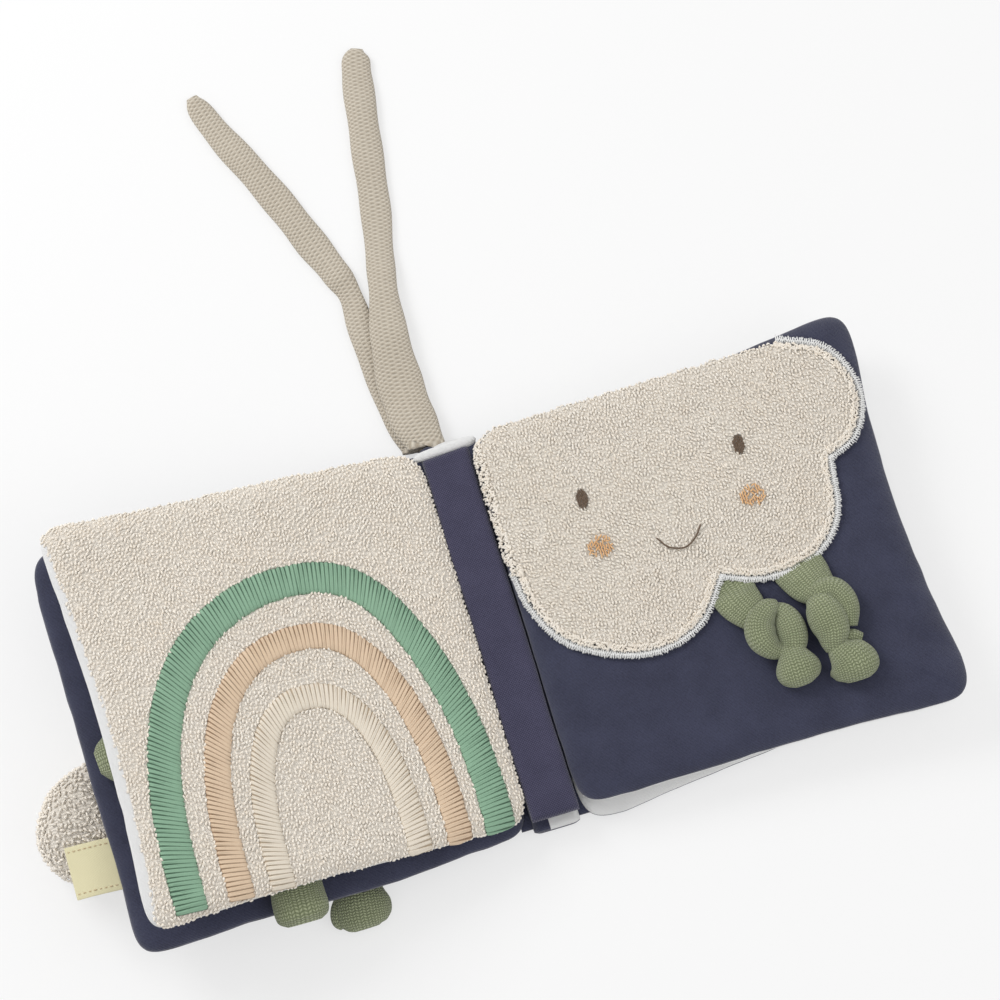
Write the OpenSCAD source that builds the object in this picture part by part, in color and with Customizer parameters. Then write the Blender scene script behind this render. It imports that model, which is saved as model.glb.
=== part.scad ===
// A cloth book for a small child, lying open at its middle spread.
// Two padded pages share a twill gutter strip and sit on a padded cover that folds at the spine.
// X runs from the gutter to the night page, Y runs to the head, where the ties are, Z is up.
// The origin is on the table, under the middle of the spine.

/* [Pages] */
// Length of a page, from the gutter seam to the middle of its outer edge
page_len = 157; // [140:1:175]
// Height of a page, from the tail seam to the head seam at the gutter
page_h = 158; // [150:1:175]
// How far the outer corners stand out past the pulled-in edges
corner_ear = 4.5; // [0:0.5:7]
// Width of the rounded rim beside each seam
rim_w = 9; // [6:0.5:12]
// Thickness of half a page, from the seam to the flat of its face
half_t = 4; // [3:0.25:5]
// Extra padding at the middle of a page's face
face_crown = 1; // [0:0.25:1.5]
// Extra padding at the middle of a face that lies against another
inner_crown = 0.5; // [0:0.25:0.75]
// Angle at which the rainbow page rises from the table
left_tilt = 15; // [14:0.5:18]
// Angle at which the night page rises from the table
right_tilt = 3.5; // [3:0.5:6]

/* [Gutter and spine] */
// Width of the twill strip between the two pages
gutter_w = 20; // [18:1:24]
// Thickness of the twill strip
strip_t = 2.5; // [1.5:0.25:3.5]
// Thickness of the backing under the strip
gutter_t = 4.5; // [4.5:0.25:6]
// Width of the padded spine
spine_w = 19.4; // [17:0.2:21]
// Width of the loose fold between the spine and each cover
fold_w = 0.8; // [0.8:0.1:1.5]

/* [Covers] */
// Length of a cover, from its fold to the middle of its outer edge
cover_len = 158.5; // [145:0.5:180]
// Height of the spine and of the covers beside it, from tail to head
cover_h = 165; // [160:1:170]
// How far the outer corners of a cover stand out past its edges
cover_ear = 2; // [0:0.5:4]
// How much lower the back cover is at its outer edge than at the spine
back_taper = 10; // [0:1:12]
// Angle at which the front cover rises over its stuffed cloud
cover_tilt = 9.5; // [8:0.5:10]
// How far the outer edge of the front cover has slipped towards the tail
cover_slip = 4; // [0:1:8]

/* [Rainbow] */
// Width of the green band
green_w = 12.5; // [8:0.5:14]
// Width of the tan band
tan_w = 10; // [6:0.5:12]
// Width of the cream band
cream_w = 9.5; // [6:0.5:11]
// Height of the stitching over the page
stitch_t = 1.2; // [0.8:0.1:2]

/* [Cloud] */
// Thickness of the terry cloud on the night page
cloud_t = 2.6; // [2:0.2:4]
// Width of the zigzag edging round the cloud
edging_w = 2.4; // [1.5:0.1:3]
// Height of the zigzag edging
edging_t = 1.8; // [1:0.1:2]
// Height of an eye
eye_h = 7.5; // [5:0.5:9]
// Width of an eye
eye_w = 4.6; // [3:0.2:6]
// Width of a cheek
cheek_w = 10; // [7:0.5:12]
// Height of a cheek
cheek_h = 9; // [6:0.5:11]
// Width of the smile's line
smile_w = 1.8; // [1.2:0.1:2.5]

/* [Label and ties] */
// How far the label stands out of the cover's edge
label_out = 17.5; // [12:0.5:22]
// Width of the label along the edge
label_w = 21; // [16:1:26]
// Thickness of the folded label
label_t = 1; // [0.8:0.1:1.5]
// Thickness of a tie
tie_t = 3; // [2:0.25:3.5]

/* [Hidden] */

// Clearance under a piece that is laid or sewn on a curved face
seat_gap = 0.3;
// The cloud bends over the page's rim in flats, so it lies a little higher
cloud_gap = 0.45;
// Exponent of the rounded square that a page is: larger is squarer
squareness = 16;
// A cover's rim reaches this far past its hinge line, towards the spine
hinge_reach = 2.2;
spine_t = 2 * half_t;
seam_z = spine_t + gutter_t;
hinge_x = spine_w / 2 + fold_w + hinge_reach;
page_head = page_h / 2;

// The size of page and cover for which the places of the pictures and limbs are drawn
DRAWN_PAGE = [157, 79];
DRAWN_COVER = [158.5, 82.5];

// Places along one side of a page, closer together at the corners
SIDE_STEPS = [-1, -0.97, -0.92, -0.84, -0.7, -0.4, 0, 0.4, 0.7, 0.84, 0.92, 0.97];
// Rings of a page's face, from its seam to near its middle
FACE_RINGS = [1, 0.986, 0.955, 0.89, 0.6, 0.25];
// Rings of a flatter face, which needs none so near the middle
FLAT_RINGS = [1, 0.986, 0.955, 0.89, 0.6];
// A panel is [length, height, reach past its hinge line, corner ear, slip towards the tail, taper]
PAGE = [page_len, page_h, 0, corner_ear, 0, 0];
FRONT = [cover_len, cover_h, hinge_reach, cover_ear, cover_slip, 0];
BACK = [cover_len, cover_h, hinge_reach, cover_ear, 0, back_taper];

// Colours of the cloths and threads
NAVY = [0.22, 0.23, 0.34];
WHITE = [0.92, 0.92, 0.92];
TERRY = [0.87, 0.81, 0.73];
TWILL = [0.26, 0.26, 0.37];
KNIT = [0.55, 0.61, 0.43];
CANVAS = [0.79, 0.73, 0.64];

// Smooth curves

function mix(a, b, t) = a + (b - a) * t;
function clamp(x, low, high) = max(low, min(high, x));

// Point at t between b and c on a curve that also looks to a and d
function curve_point(a, b, c, d, t) =
    0.5 * (2 * b + (c - a) * t + (2 * a - 5 * b + 4 * c - d) * t * t
           + (3 * b - a - 3 * c + d) * t * t * t);

// A smooth open curve through some points, with a number of steps between each two
function smooth(pts, steps) =
    let (last = len(pts) - 1)
    concat([for (i = [0:last - 1], k = [0:steps - 1])
               curve_point(pts[max(i - 1, 0)], pts[i], pts[i + 1], pts[min(i + 2, last)], k / steps)],
           [pts[last]]);

// The same curve without its last point, to join on to the next one
function smooth_part(pts, steps) =
    let (all = smooth(pts, steps))
    [for (i = [0:len(all) - 2]) all[i]];

function unit(v) = v / max(norm(v), 1e-9);
function flip(list) = [for (i = [len(list) - 1:-1:0]) list[i]];
function middle(pts) = [for (k = [0:2]) total([for (p = pts) p[k]]) / len(pts)];
function total(list, i = 0) = i < len(list) ? list[i] + total(list, i + 1) : 0;

// The padded page

// How near a point is to the edge of its page: 0 at the middle, 1 on the seam
function nearness(x, y) =
    pow(pow(abs(x), squareness) + pow(abs(y), squareness), 1 / squareness);

// Height of the padding over the seam at that nearness, as a share of its flat height
function rim_place(r, panel) = clamp((r - 1 + 2 * rim_w / panel[0]) / (2 * rim_w / panel[0]), 0, 1);

// A point over a page's face, from its place in the rounded square and its lift off the face
function face_point(x, y, panel, flat, crown, lift) =
    let (r = nearness(x, y),
         k = rim_place(r, panel),
         ear = panel[3] * max(x, 0) * max(x, 0) * y * y,
         side = unit([sign(x) * pow(abs(x), squareness - 1), sign(y) * pow(abs(y), squareness - 1)]),
         lean = unit([flat * k, rim_w * sqrt(1 - k * k)]),
         half_len = (panel[0] + panel[2]) / 2,
         u = half_len * (1 + x) - panel[2] + ear,
         along = max(u, 0) / panel[0],
         v = y * (panel[1] - panel[5] * along) / 2 + ear * sign(y) - panel[4] * along)
    [u + lift * lean[0] * side[0],
     v + lift * lean[0] * side[1],
     flat * sqrt(1 - k * k) + crown * (1 - r * r) + lift * lean[1]];

// Place in the rounded square of a point given in millimetres on a page
function page_place(u, v) =
    let (x0 = 2 * u / page_len - 1,
         y0 = v / page_head,
         pull = max(x0, 0) * max(x0, 0) * y0 * y0 * corner_ear,
         x = (u - page_len / 2 - pull) / (page_len / 2),
         y = (v - sign(v) * pull) / page_head,
         r = nearness(x, y))
    r > 1 ? [x / r, y / r] : [x, y];

// A drawn place fitted to the size of the page or of the cover
function page_fit(p) = [p[0] * page_len / DRAWN_PAGE[0], p[1] * page_head / DRAWN_PAGE[1]];
function cover_fit(p) = [p[0] * cover_len / DRAWN_COVER[0], p[1] * cover_h / 2 / DRAWN_COVER[1]];

// A point on or over the face of a page, from millimetres out from the gutter and towards the head
function on_page(p, lift) =
    let (q = page_place(p[0], p[1]))
    face_point(q[0], q[1], PAGE, half_t, face_crown, lift);

// Corner-to-corner walk round a square, drawn on to the rounded square
function square_walk() =
    [for (side = [0:3], s = SIDE_STEPS)
        let (c = [[1, s], [-s, 1], [-1, -s], [s, -1]][side])
        c / nearness(c[0], c[1])];

function panel_ring(r, panel, flat, crown) =
    [for (q = square_walk()) face_point(q[0] * r, q[1] * r, panel, flat, crown, 0)];

// Solids made from rings

// A closed solid through rings of equal count, each end closed by a fan round its middle
module skin(rings) {
    n = len(rings[0]);
    m = len(rings);
    points = concat([for (r = rings) each r], [middle(rings[0]), middle(rings[m - 1])]);
    walls = [for (j = [0:m - 2], i = [0:n - 1])
                let (a = j * n + i, b = j * n + (i + 1) % n)
                each [[a, a + n, b], [b, a + n, b + n]]];
    first = [for (i = [0:n - 1]) [n * m, i, (i + 1) % n]];
    last = [for (i = [0:n - 1]) [n * m + 1, n * (m - 1) + (i + 1) % n, n * (m - 1) + i]];
    polyhedron(points, concat(walls, first, last), convexity = 8);
}

// Half of a padded panel: flat at its seam, rounded at its rim and crowned on its face
module half_panel(panel, crown) {
    rings = crown == face_crown ? FACE_RINGS : FLAT_RINGS;
    skin([for (r = rings) panel_ring(r, panel, half_t, crown)]);
}

// Stands a page's own frame at its side of the gutter
module at_page(side, tilt) {
    mirror([side < 0 ? 1 : 0, 0, 0])
        translate([gutter_w / 2, 0, seam_z]) rotate([0, -tilt, 0]) children();
}

// Stands a cover's own frame at its hinge line
module at_cover(side, tilt) {
    mirror([side < 0 ? 1 : 0, 0, 0])
        translate([hinge_x, 0, half_t]) rotate([0, -tilt, 0]) children();
}

module left_page() at_page(-1, left_tilt) children();
module right_page() at_page(1, right_tilt) children();
module front_cover() at_cover(-1, cover_tilt) children();
module back_cover() at_cover(1, 0) children();

module turned_down() mirror([0, 0, 1]) children();

// The spread of two pages

module spread_backing() color(WHITE) {
    left_page() turned_down() half_panel(PAGE, inner_crown);
    right_page() turned_down() half_panel(PAGE, inner_crown);
    backing_gutter();
}

// The backing runs on under the strip and a little way into both pages
module backing_gutter() {
    reach = gutter_w / 2 + rim_w / 3;
    length = page_h - rim_w;
    rotate([90, 0, 0]) linear_extrude(length, center = true)
        polygon([[-reach, seam_z], [-gutter_w / 2, spine_t + 1], [-spine_w / 2, spine_t],
                 [spine_w / 2, spine_t], [gutter_w / 2, spine_t + 1], [reach, seam_z]]);
}

module rainbow_page() color(TERRY) left_page() half_panel(PAGE, face_crown);

module night_page() color(NAVY) right_page() half_panel(PAGE, face_crown);

// The strip lies in the gutter and dips to a crease beside the night page
module gutter_strip() color(TWILL) {
    half = gutter_w / 2;
    rotate([90, 0, 0]) linear_extrude(page_h, center = true)
        polygon([[-half, seam_z], [half, seam_z], [half - 0.4, seam_z + 0.4 * strip_t],
                 [half - 2, seam_z + 0.7 * strip_t], [half - 5, seam_z + strip_t],
                 [3 - half, seam_z + strip_t], [0.6 - half, seam_z + 0.7 * strip_t]]);
}

// The rainbow

// The feet of an arch run straight up over the rim, from the tail seam to this height
foot_v = rim_w + 2 - page_head;

// A point on an arch: its feet stand on the tail seam and its top leans towards the gutter
function arch_point(angle, middle_u, half, top_v, lean) =
    let (x = cos(angle), y = sin(angle))
    [middle_u + half * sign(x) * pow(abs(x), 0.87) + lean * pow(y, 5),
     mix(foot_v, top_v, pow(y, 0.87))];

function arch_line(middle_u, half, top_v, lean) =
    let (steps = 20,
         foot = [for (k = [0, 0.02, 0.1, 0.3, 0.6]) mix(-page_head, foot_v, k)],
         left = [for (v = foot) [middle_u + half, v]],
         right = [for (v = flip(foot)) [middle_u - half, v]])
    concat(left, [for (i = [0:steps]) arch_point(180 * i / steps, middle_u, half, top_v, lean)], right);

// A stitched band that follows the page between two arches. Its middle is off the page's by a shift,
// and it stays in from the sides of the page and down from the head.
module arch_band(shift, in, down, width, lean) {
    middle_u = page_len / 2 + shift;
    half = page_len / 2 - in;
    top_v = page_head - down;
    outer = arch_line(middle_u, half, top_v, lean);
    inner = arch_line(middle_u, half - width, top_v - width, lean);
    left_page() skin([for (i = [0:len(outer) - 1])
        let (a = outer[i], b = inner[i])
        [on_page(a, seat_gap), on_page(a, 0.7 * stitch_t), on_page(mix(a, b, 0.2), stitch_t),
         on_page(mix(a, b, 0.8), stitch_t), on_page(b, 0.7 * stitch_t), on_page(b, seat_gap)]]);
}

module green_arch() color([0.49, 0.66, 0.53]) arch_band(-1.5, 8.7, 34.5, green_w, -8);
module tan_arch() color([0.80, 0.67, 0.53]) arch_band(-3, 28.5, 59, tan_w, -3);
module cream_arch() color([0.84, 0.78, 0.70]) arch_band(-3, 45.5, 83, cream_w, 0);

// The cloud on the night page

// The cloud's three lobes, from the gutter round to the head
CLOUD_LOBES = [[[3.5, 20], [6, 3], [17, -15], [43, -27], [66, -23], [81, -6]],
               [[81, -6], [98, -12], [118, -10], [132, 3], [137, 27]],
               [[137, 27], [150, 33], [157, 50], [150, 69], [132, 79]]];
CLOUD_MIDDLE = page_fit([82, 34]);
// The cloud's edge meets the head seam this far out
CLOUD_HEAD = page_fit([132, 79]);
// The cloud stops this far from the gutter seam, and meets it at this height
gutter_edge = 2;
CLOUD_FOOT = page_fit([3.5, 20])[1];
// Its corner at the gutter and the head is rounded to this radius
cloud_corner = 10;

// The edge that carries the zigzag edging
function cloud_edge() =
    concat([for (lobe = CLOUD_LOBES) each smooth_part([for (p = lobe) page_fit(p)], 4)], [CLOUD_HEAD]);

// The whole outline: the edging's line, then the head seam and the gutter seam
function cloud_outline() =
    concat(cloud_edge(),
           [for (k = [1:5]) [mix(CLOUD_HEAD[0], gutter_edge + cloud_corner, k / 6), page_head]],
           [for (a = [90:30:180]) [gutter_edge, page_head] + cloud_corner * [1 + cos(a), sin(a) - 1]],
           [for (k = [1:4]) [gutter_edge, mix(page_head - cloud_corner, CLOUD_FOOT, k / 5)]]);

function about_cloud(p, share) = mix(CLOUD_MIDDLE, p, share);

module cloud_patch() color(TERRY) right_page()
    skin(concat([for (s = [0.2, 0.5, 0.8, 0.87, 0.91, 0.94, 0.96, 0.98]) cloud_ring(s, cloud_gap)],
                [for (s = [0.98, 0.93, 0.8, 0.5, 0.2]) cloud_ring(s, cloud_t)]));

function cloud_ring(share, lift) = [for (p = cloud_outline()) on_page(about_cloud(p, share), lift)];

// A zigzag band laid along the cloud's free edge
module cloud_edging() color(WHITE) {
    edge = cloud_edge();
    right_page() skin([for (p = edge)
        let (out = unit(p - CLOUD_MIDDLE), b = p + out * edging_w, a = [max(p[0], gutter_edge), p[1]])
        [on_page(a, cloud_gap), on_page(a, 0.8 * edging_t), on_page(mix(a, b, 0.5), edging_t),
         on_page(b, 0.6 * edging_t), on_page(b, cloud_gap)]]);
}

// A stitched oval on the cloud's face
module stitched_oval(place, width, height, t) {
    base = cloud_t + 0.1;
    right_page() skin([for (step = [[1, 0], [1, 0.5], [0.75, 1], [0.3, 1]])
        [for (a = [0:30:330])
            on_page(page_fit(place) + [width / 2 * cos(a), height / 2 * sin(a)] * step[0], base + t * step[1])]]);
}

EYE_PLACES = [[37.8, 39.4], [104.5, 41.9]];
CHEEK_PLACES = [[39, 18.5], [103.4, 20.2]];
module eye_left() color([0.33, 0.27, 0.20]) stitched_oval(EYE_PLACES[0], eye_w, eye_h, 0.9);
module eye_right() color([0.33, 0.27, 0.20]) stitched_oval(EYE_PLACES[1], eye_w, eye_h, 0.9);
module cheek_left() color([0.92, 0.69, 0.45]) stitched_oval(CHEEK_PLACES[0], cheek_w, cheek_h, 0.7);
module cheek_right() color([0.92, 0.69, 0.45]) stitched_oval(CHEEK_PLACES[1], cheek_w, cheek_h, 0.7);

module smile() color([0.33, 0.27, 0.20]) {
    line = smooth([[61.6, 14.6], [65, 10], [71, 8], [76, 10.4], [79.5, 14.6]], 3);
    base = cloud_t + 0.1;
    right_page() skin([for (p = line)
        let (q = page_fit(p), off = [0, smile_w / 2])
        [on_page(q + off, base), on_page(q + off, base + 0.5), on_page(q, base + 0.9),
         on_page(q - off, base + 0.5), on_page(q - off, base)]]);
}

// Knitted limbs

// Direction of a route at its point i
function heading(route, i) =
    unit([for (k = [0:1]) route[min(i + 1, len(route) - 1)][k] - route[max(i - 1, 0)][k]]);

// An oval ring across a route whose points are [x, y, height of its middle, half width, half height]
function limb_ring(route, i, sides) =
    let (p = route[i], h = heading(route, i))
    [for (k = [0:sides - 1])
        let (a = 360 * k / sides)
        [p[0] - h[1] * p[3] * cos(a), p[1] + h[0] * p[3] * cos(a), p[2] + p[4] * sin(a)]];

// A soft tube along a route
module limb(points, sides = 12) {
    route = smooth(points, 2);
    skin([for (i = [0:len(route) - 1]) limb_ring(route, i, sides)]);
}

// A limb laid on the night page: its heights are those of its underside over the face
module page_limb(points, sides = 10) {
    right_page() limb([for (p = points)
        let (q = page_fit(p))
        [q[0], q[1], on_page(q, 0)[2] + seat_gap + p[2] + p[4], p[3], p[4]]], sides);
}

// A leg is one tube tied in a single knot. It comes out from under the cloud, turns over itself in
// a loop that lies on a second loop, and ends in a stuffed foot.
module knotted_leg(upper, under_loop, over_loop, foot) {
    page_limb(upper);
    page_limb(under_loop, 8);
    page_limb(over_loop, 8);
    page_limb(foot);
}

module cloud_leg_left() color(KNIT)
    knotted_leg(
        [[84.6, -18, 0, 9.2, 1.5], [86.6, -22.5, 0, 8.4, 2.4], [89, -27, 0, 6.8, 3.2],
         [92, -31.5, 0.2, 5, 3.4], [93.6, -34.5, 0.6, 3, 2.4]],
        [[96, -26.6, 0.6, 3, 2.2], [99.2, -29.4, 0.3, 5, 3.2], [100.6, -34, 0.3, 6.2, 4],
         [100.6, -39.5, 0.3, 6.2, 4], [99.4, -43.8, 0.6, 4.8, 3.4], [97.5, -46, 1.4, 2.4, 2]],
        [[98.5, -25.5, 1.6, 2.8, 2.2], [94, -26.5, 2.4, 4.6, 3.4], [89.8, -30.8, 2.4, 6, 4],
         [88.8, -36.4, 2.2, 6.2, 4.2], [91, -41.2, 1.6, 4.8, 3.6], [94.6, -44.4, 1.6, 2.8, 2.4]],
        [[98.6, -42, 1, 4.6, 2.8], [98.6, -46, 0.6, 6, 3.8], [98.7, -50.5, 0.2, 8.6, 4.6],
         [98.8, -54, 0, 9, 4.4], [98.9, -56.8, 0, 7.4, 3.4], [99, -58.6, 0.8, 3.8, 1.8]]);

module cloud_leg_right() color(KNIT) {
    knotted_leg(
        [[112.8, -16.4, 0, 10.4, 1.5], [114.4, -20.6, 0, 9.6, 2.4], [116.4, -25, 0, 7.8, 3.2],
         [117.6, -29, 0.2, 6, 3.6], [118, -33, 0.6, 4, 2.8]],
        [[112.6, -27, 0.6, 2.8, 2.2], [116.6, -25.4, 1.2, 4.4, 3.2], [121.4, -26, 1.4, 5, 3.8],
         [124.4, -30.2, 1.2, 5, 4], [125, -35.5, 0.6, 4.6, 4], [123.4, -42, 0.6, 3.2, 3]],
        [[113.4, -27.6, 1.6, 4, 2.4], [114.6, -30.6, 2.8, 6.4, 3.4], [115.6, -36, 3, 7.8, 4],
         [116, -42, 2.4, 7.2, 4], [115, -47, 1.4, 5, 3.4], [114.4, -50, 1.4, 3.2, 2.4]],
        [[116.6, -46.6, 1, 4.4, 2.8], [117.4, -50, 0.6, 6, 3.8], [119.2, -53.8, 0.2, 9.2, 4.6],
         [120.2, -57.6, 0, 10.3, 4.6], [120.4, -61, 0, 8.8, 3.6], [120.4, -63.2, 0.8, 5, 1.8]]);
    // The end of the under loop comes round as a narrow fold above the foot
    page_limb([[118, -48.2, 1.8, 2.2, 1.8], [122.6, -46, 1.8, 2.8, 2.2], [126.4, -48, 1.4, 2.4, 1.8]], 8);
}

// The cover

// The spine's section, rounded where the covers fold round it
module spine_section() {
    r = spine_t / 2;
    square_w = spine_w - 2 * r;
    translate([-square_w / 2, 0]) square([square_w, spine_t]);
    for (x = [-square_w / 2, square_w / 2])
        translate([x, r]) circle(r, $fn = 48);
}

module spine_outside() color(NAVY)
    rotate([90, 0, 0]) linear_extrude(cover_h, center = true) intersection() {
        spine_section();
        translate([-spine_w, 0]) square([2 * spine_w, half_t]);
    }

module spine_inside() color(WHITE)
    rotate([90, 0, 0]) linear_extrude(cover_h, center = true) intersection() {
        spine_section();
        translate([-spine_w, half_t]) square([2 * spine_w, half_t]);
    }

module front_cover_inside() color(NAVY) front_cover() half_panel(FRONT, inner_crown);
module front_cover_outside() color(NAVY) front_cover() turned_down() half_panel(FRONT, 0);
module back_cover_inside() color(WHITE) back_cover() half_panel(BACK, inner_crown);
module back_cover_outside() color(NAVY) back_cover() turned_down() half_panel(BACK, 0);

// The stuffed cloud on the outside of the front cover

// Its lobes, from the one past the outer edge round by the tail
COVER_LOBES = [[[150, -5], [163, -7], [177, -14], [185, -29], [181, -44], [167, -53], [150, -52]],
               [[150, -52], [138, -62], [118, -62], [106, -52]],
               [[106, -52], [92, -62], [68, -60], [52, -44]],
               [[52, -44], [36, -30], [34, -6], [48, 12]],
               [[48, 12], [56, 38], [84, 44], [104, 32]],
               [[104, 32], [126, 38], [146, 22], [150, -5]]];
COVER_CLOUD_MIDDLE = cover_fit([106, -10]);

// It fills the wedge between the table and the underside of the cover
function cloud_wedge(p, side, share, fullness) =
    let (q = mix(COVER_CLOUD_MIDDLE, p, share),
         top = -half_t - seat_gap,
         table = -(half_t + q[0] * sin(cover_tilt)) / cos(cover_tilt))
    [q[0], q[1], (top + table) / 2 + side * fullness * (top - table) / 2];

module cover_cloud() color(TERRY) {
    outline = [for (lobe = COVER_LOBES) each smooth_part([for (p = lobe) cover_fit(p)], 3)];
    steps = [[-1, 0.4, 1], [-1, 0.78, 1], [-1, 0.93, 0.78], [-1, 0.99, 0.35],
             [1, 0.99, 0.35], [1, 0.93, 0.78], [1, 0.78, 1], [1, 0.4, 1]];
    front_cover() skin([for (s = steps) [for (p = outline) cloud_wedge(p, s[0], s[1], s[2])]]);
}

// Its leg lies on the table and shows past the tail edge of the cover
module cover_cloud_leg() color(KNIT)
    limb([for (p = [[-80, -61.4, 6.5, 3.4], [-81, -74, 7, 3.8], [-83, -84, 10, 4.6],
                    [-83.5, -90, 11.6, 5], [-84, -95, 9.6, 4], [-84, -97.6, 4, 1.6]])
             [p[0], cover_fit(p)[1], p[3], p[2], p[3]]]);

// The label is a ribbon folded double and caught in the outer seam of the front cover
module side_label() color([0.87, 0.84, 0.67]) {
    start = cover_len + cover_ear / 2 + seat_gap;
    front_cover() skin([for (t = [0, 0.25, 0.5, 0.75, 1])
        let (u = start + label_out * t, w = -3.5 * t * t, v = -49 + t)
        [[u, v - label_w / 2, w - label_t / 2], [u, v + label_w / 2, w - label_t / 2],
         [u, v + label_w / 2, w + label_t / 2], [u, v - label_w / 2, w + label_t / 2]]]);
}

// Knitted limbs sewn to the inside of the front cover, where only their ends show
module cover_limb(points) {
    front_cover() limb([for (p = points)
        let (q = cover_fit(p))
        [q[0], q[1], half_t + inner_crown + seat_gap + p[3], p[2], p[3]]]);
}

module page_arm() color(KNIT)
    cover_limb([[118, -4, 7, 2.6], [130, -6, 8, 3], [142, -9, 9, 3.6],
                [150, -10.5, 9.6, 4], [154, -11, 8, 3.4], [156, -11.5, 4, 1.6]]);

module page_leg() color(KNIT)
    cover_limb([[92, -48, 7, 2.4], [93, -60, 7.4, 2.8], [95, -72, 8.6, 3],
                [96, -81, 10, 4], [96, -86, 10.4, 4.4], [96, -90, 9.6, 3.4], [96, -91.6, 6, 1.4]]);

// The ties

// Each route is [x, distance past the spine's head end, z, half width], along the table
TIE_RIGHT = [[-6, 0.3, 5.4, 7.6], [-6, 2.5, 5.4, 8.2], [-8, 15.5, 5, 9.6], [-8.5, 31.5, 5, 9.4],
             [-7, 50.5, 5, 8], [-4, 69.5, 4.4, 6.2], [-1, 85.5, 2.4, 6], [3, 105.5, 1.8, 6.4],
             [6, 125.5, 1.8, 6.6], [9, 145.5, 1.8, 6.6], [12, 164.5, 1.8, 6.5], [14, 173.5, 1.8, 5.6],
             [15.5, 177.5, 1.8, 2.6]];
TIE_LEFT = [[-10, 0.3, 1.8, 6], [-10, 2.5, 1.8, 6], [-13.5, 15.5, 1.8, 6], [-15.5, 33.5, 1.8, 6],
            [-17, 54.5, 1.8, 5.8], [-17.5, 72.5, 1.8, 5.3], [-21, 84.5, 1.8, 6.2], [-26.8, 99.5, 1.8, 6.8],
            [-33.6, 117.5, 1.8, 6.7], [-41.6, 136.5, 1.8, 6.5], [-50.3, 155.5, 1.8, 6], [-56, 170.5, 1.8, 4.8],
            [-57.6, 176.5, 1.8, 2.4]];

// A tie is a flat tube of canvas
module tie(route) {
    color(CANVAS) translate([0, cover_h / 2, 0]) skin([for (i = [0:len(route) - 1])
        let (p = route[i], h = heading(route, i))
        [for (q = [[-1, -0.3], [-0.8, -1], [0.8, -1], [1, -0.3], [1, 0.3], [0.8, 1], [-0.8, 1], [-1, 0.3]])
            [p[0] - h[1] * p[3] * q[0], p[1] + h[0] * p[3] * q[0], p[2] + tie_t / 2 * q[1]]]]);
}

module tie_left() tie(TIE_LEFT);
module tie_right() tie(TIE_RIGHT);

spread_backing();
rainbow_page();
night_page();
gutter_strip();
green_arch();
tan_arch();
cream_arch();
cloud_patch();
cloud_edging();
eye_left();
eye_right();
cheek_left();
cheek_right();
smile();
cloud_leg_left();
cloud_leg_right();
spine_outside();
spine_inside();
front_cover_inside();
front_cover_outside();
cover_cloud();
cover_cloud_leg();
side_label();
page_arm();
page_leg();
back_cover_inside();
back_cover_outside();
tie_left();
tie_right();
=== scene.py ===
"""A padded cloth book that lies open at its middle spread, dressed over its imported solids."""
import math

import bmesh
import bpy
import numpy as np
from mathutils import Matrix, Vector
from mathutils.bvhtree import BVHTree


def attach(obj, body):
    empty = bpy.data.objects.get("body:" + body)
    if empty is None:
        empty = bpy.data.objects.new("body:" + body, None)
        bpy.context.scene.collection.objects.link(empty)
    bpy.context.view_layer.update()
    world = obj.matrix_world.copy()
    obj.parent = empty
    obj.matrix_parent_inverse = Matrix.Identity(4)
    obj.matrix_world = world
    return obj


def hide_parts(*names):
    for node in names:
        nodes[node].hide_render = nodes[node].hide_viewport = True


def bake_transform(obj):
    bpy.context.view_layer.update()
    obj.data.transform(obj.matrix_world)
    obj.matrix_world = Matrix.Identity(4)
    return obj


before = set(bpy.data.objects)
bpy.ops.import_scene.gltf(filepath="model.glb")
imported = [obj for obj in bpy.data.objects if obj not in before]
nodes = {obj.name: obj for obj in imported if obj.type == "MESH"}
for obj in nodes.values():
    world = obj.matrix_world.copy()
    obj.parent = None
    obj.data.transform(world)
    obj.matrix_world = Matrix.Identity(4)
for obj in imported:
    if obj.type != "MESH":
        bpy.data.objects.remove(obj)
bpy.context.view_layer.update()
scene = bpy.context.scene
MM = 0.001

# Camera
# It looks down on the open book from in front of it and a little to the left.
LENS, SENSOR = 105.66, 36
TARGET = Vector((16.7, 52.9, 4.0)) * MM
DISTANCE = 1.2
AZIMUTH, ELEVATION = math.radians(-16.8), math.radians(76.4)
back = Vector((math.sin(AZIMUTH) * math.cos(ELEVATION), -math.cos(AZIMUTH) * math.cos(ELEVATION),
               math.sin(ELEVATION)))
camera_data = bpy.data.cameras.new("camera")
camera_data.lens, camera_data.sensor_width = LENS, SENSOR
camera = bpy.data.objects.new("camera", camera_data)
scene.collection.objects.link(camera)
camera.location = TARGET + back * DISTANCE
camera.rotation_mode = "QUATERNION"
camera.rotation_quaternion = (-back).to_track_quat("-Z", "Y")
scene.camera = camera


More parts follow.
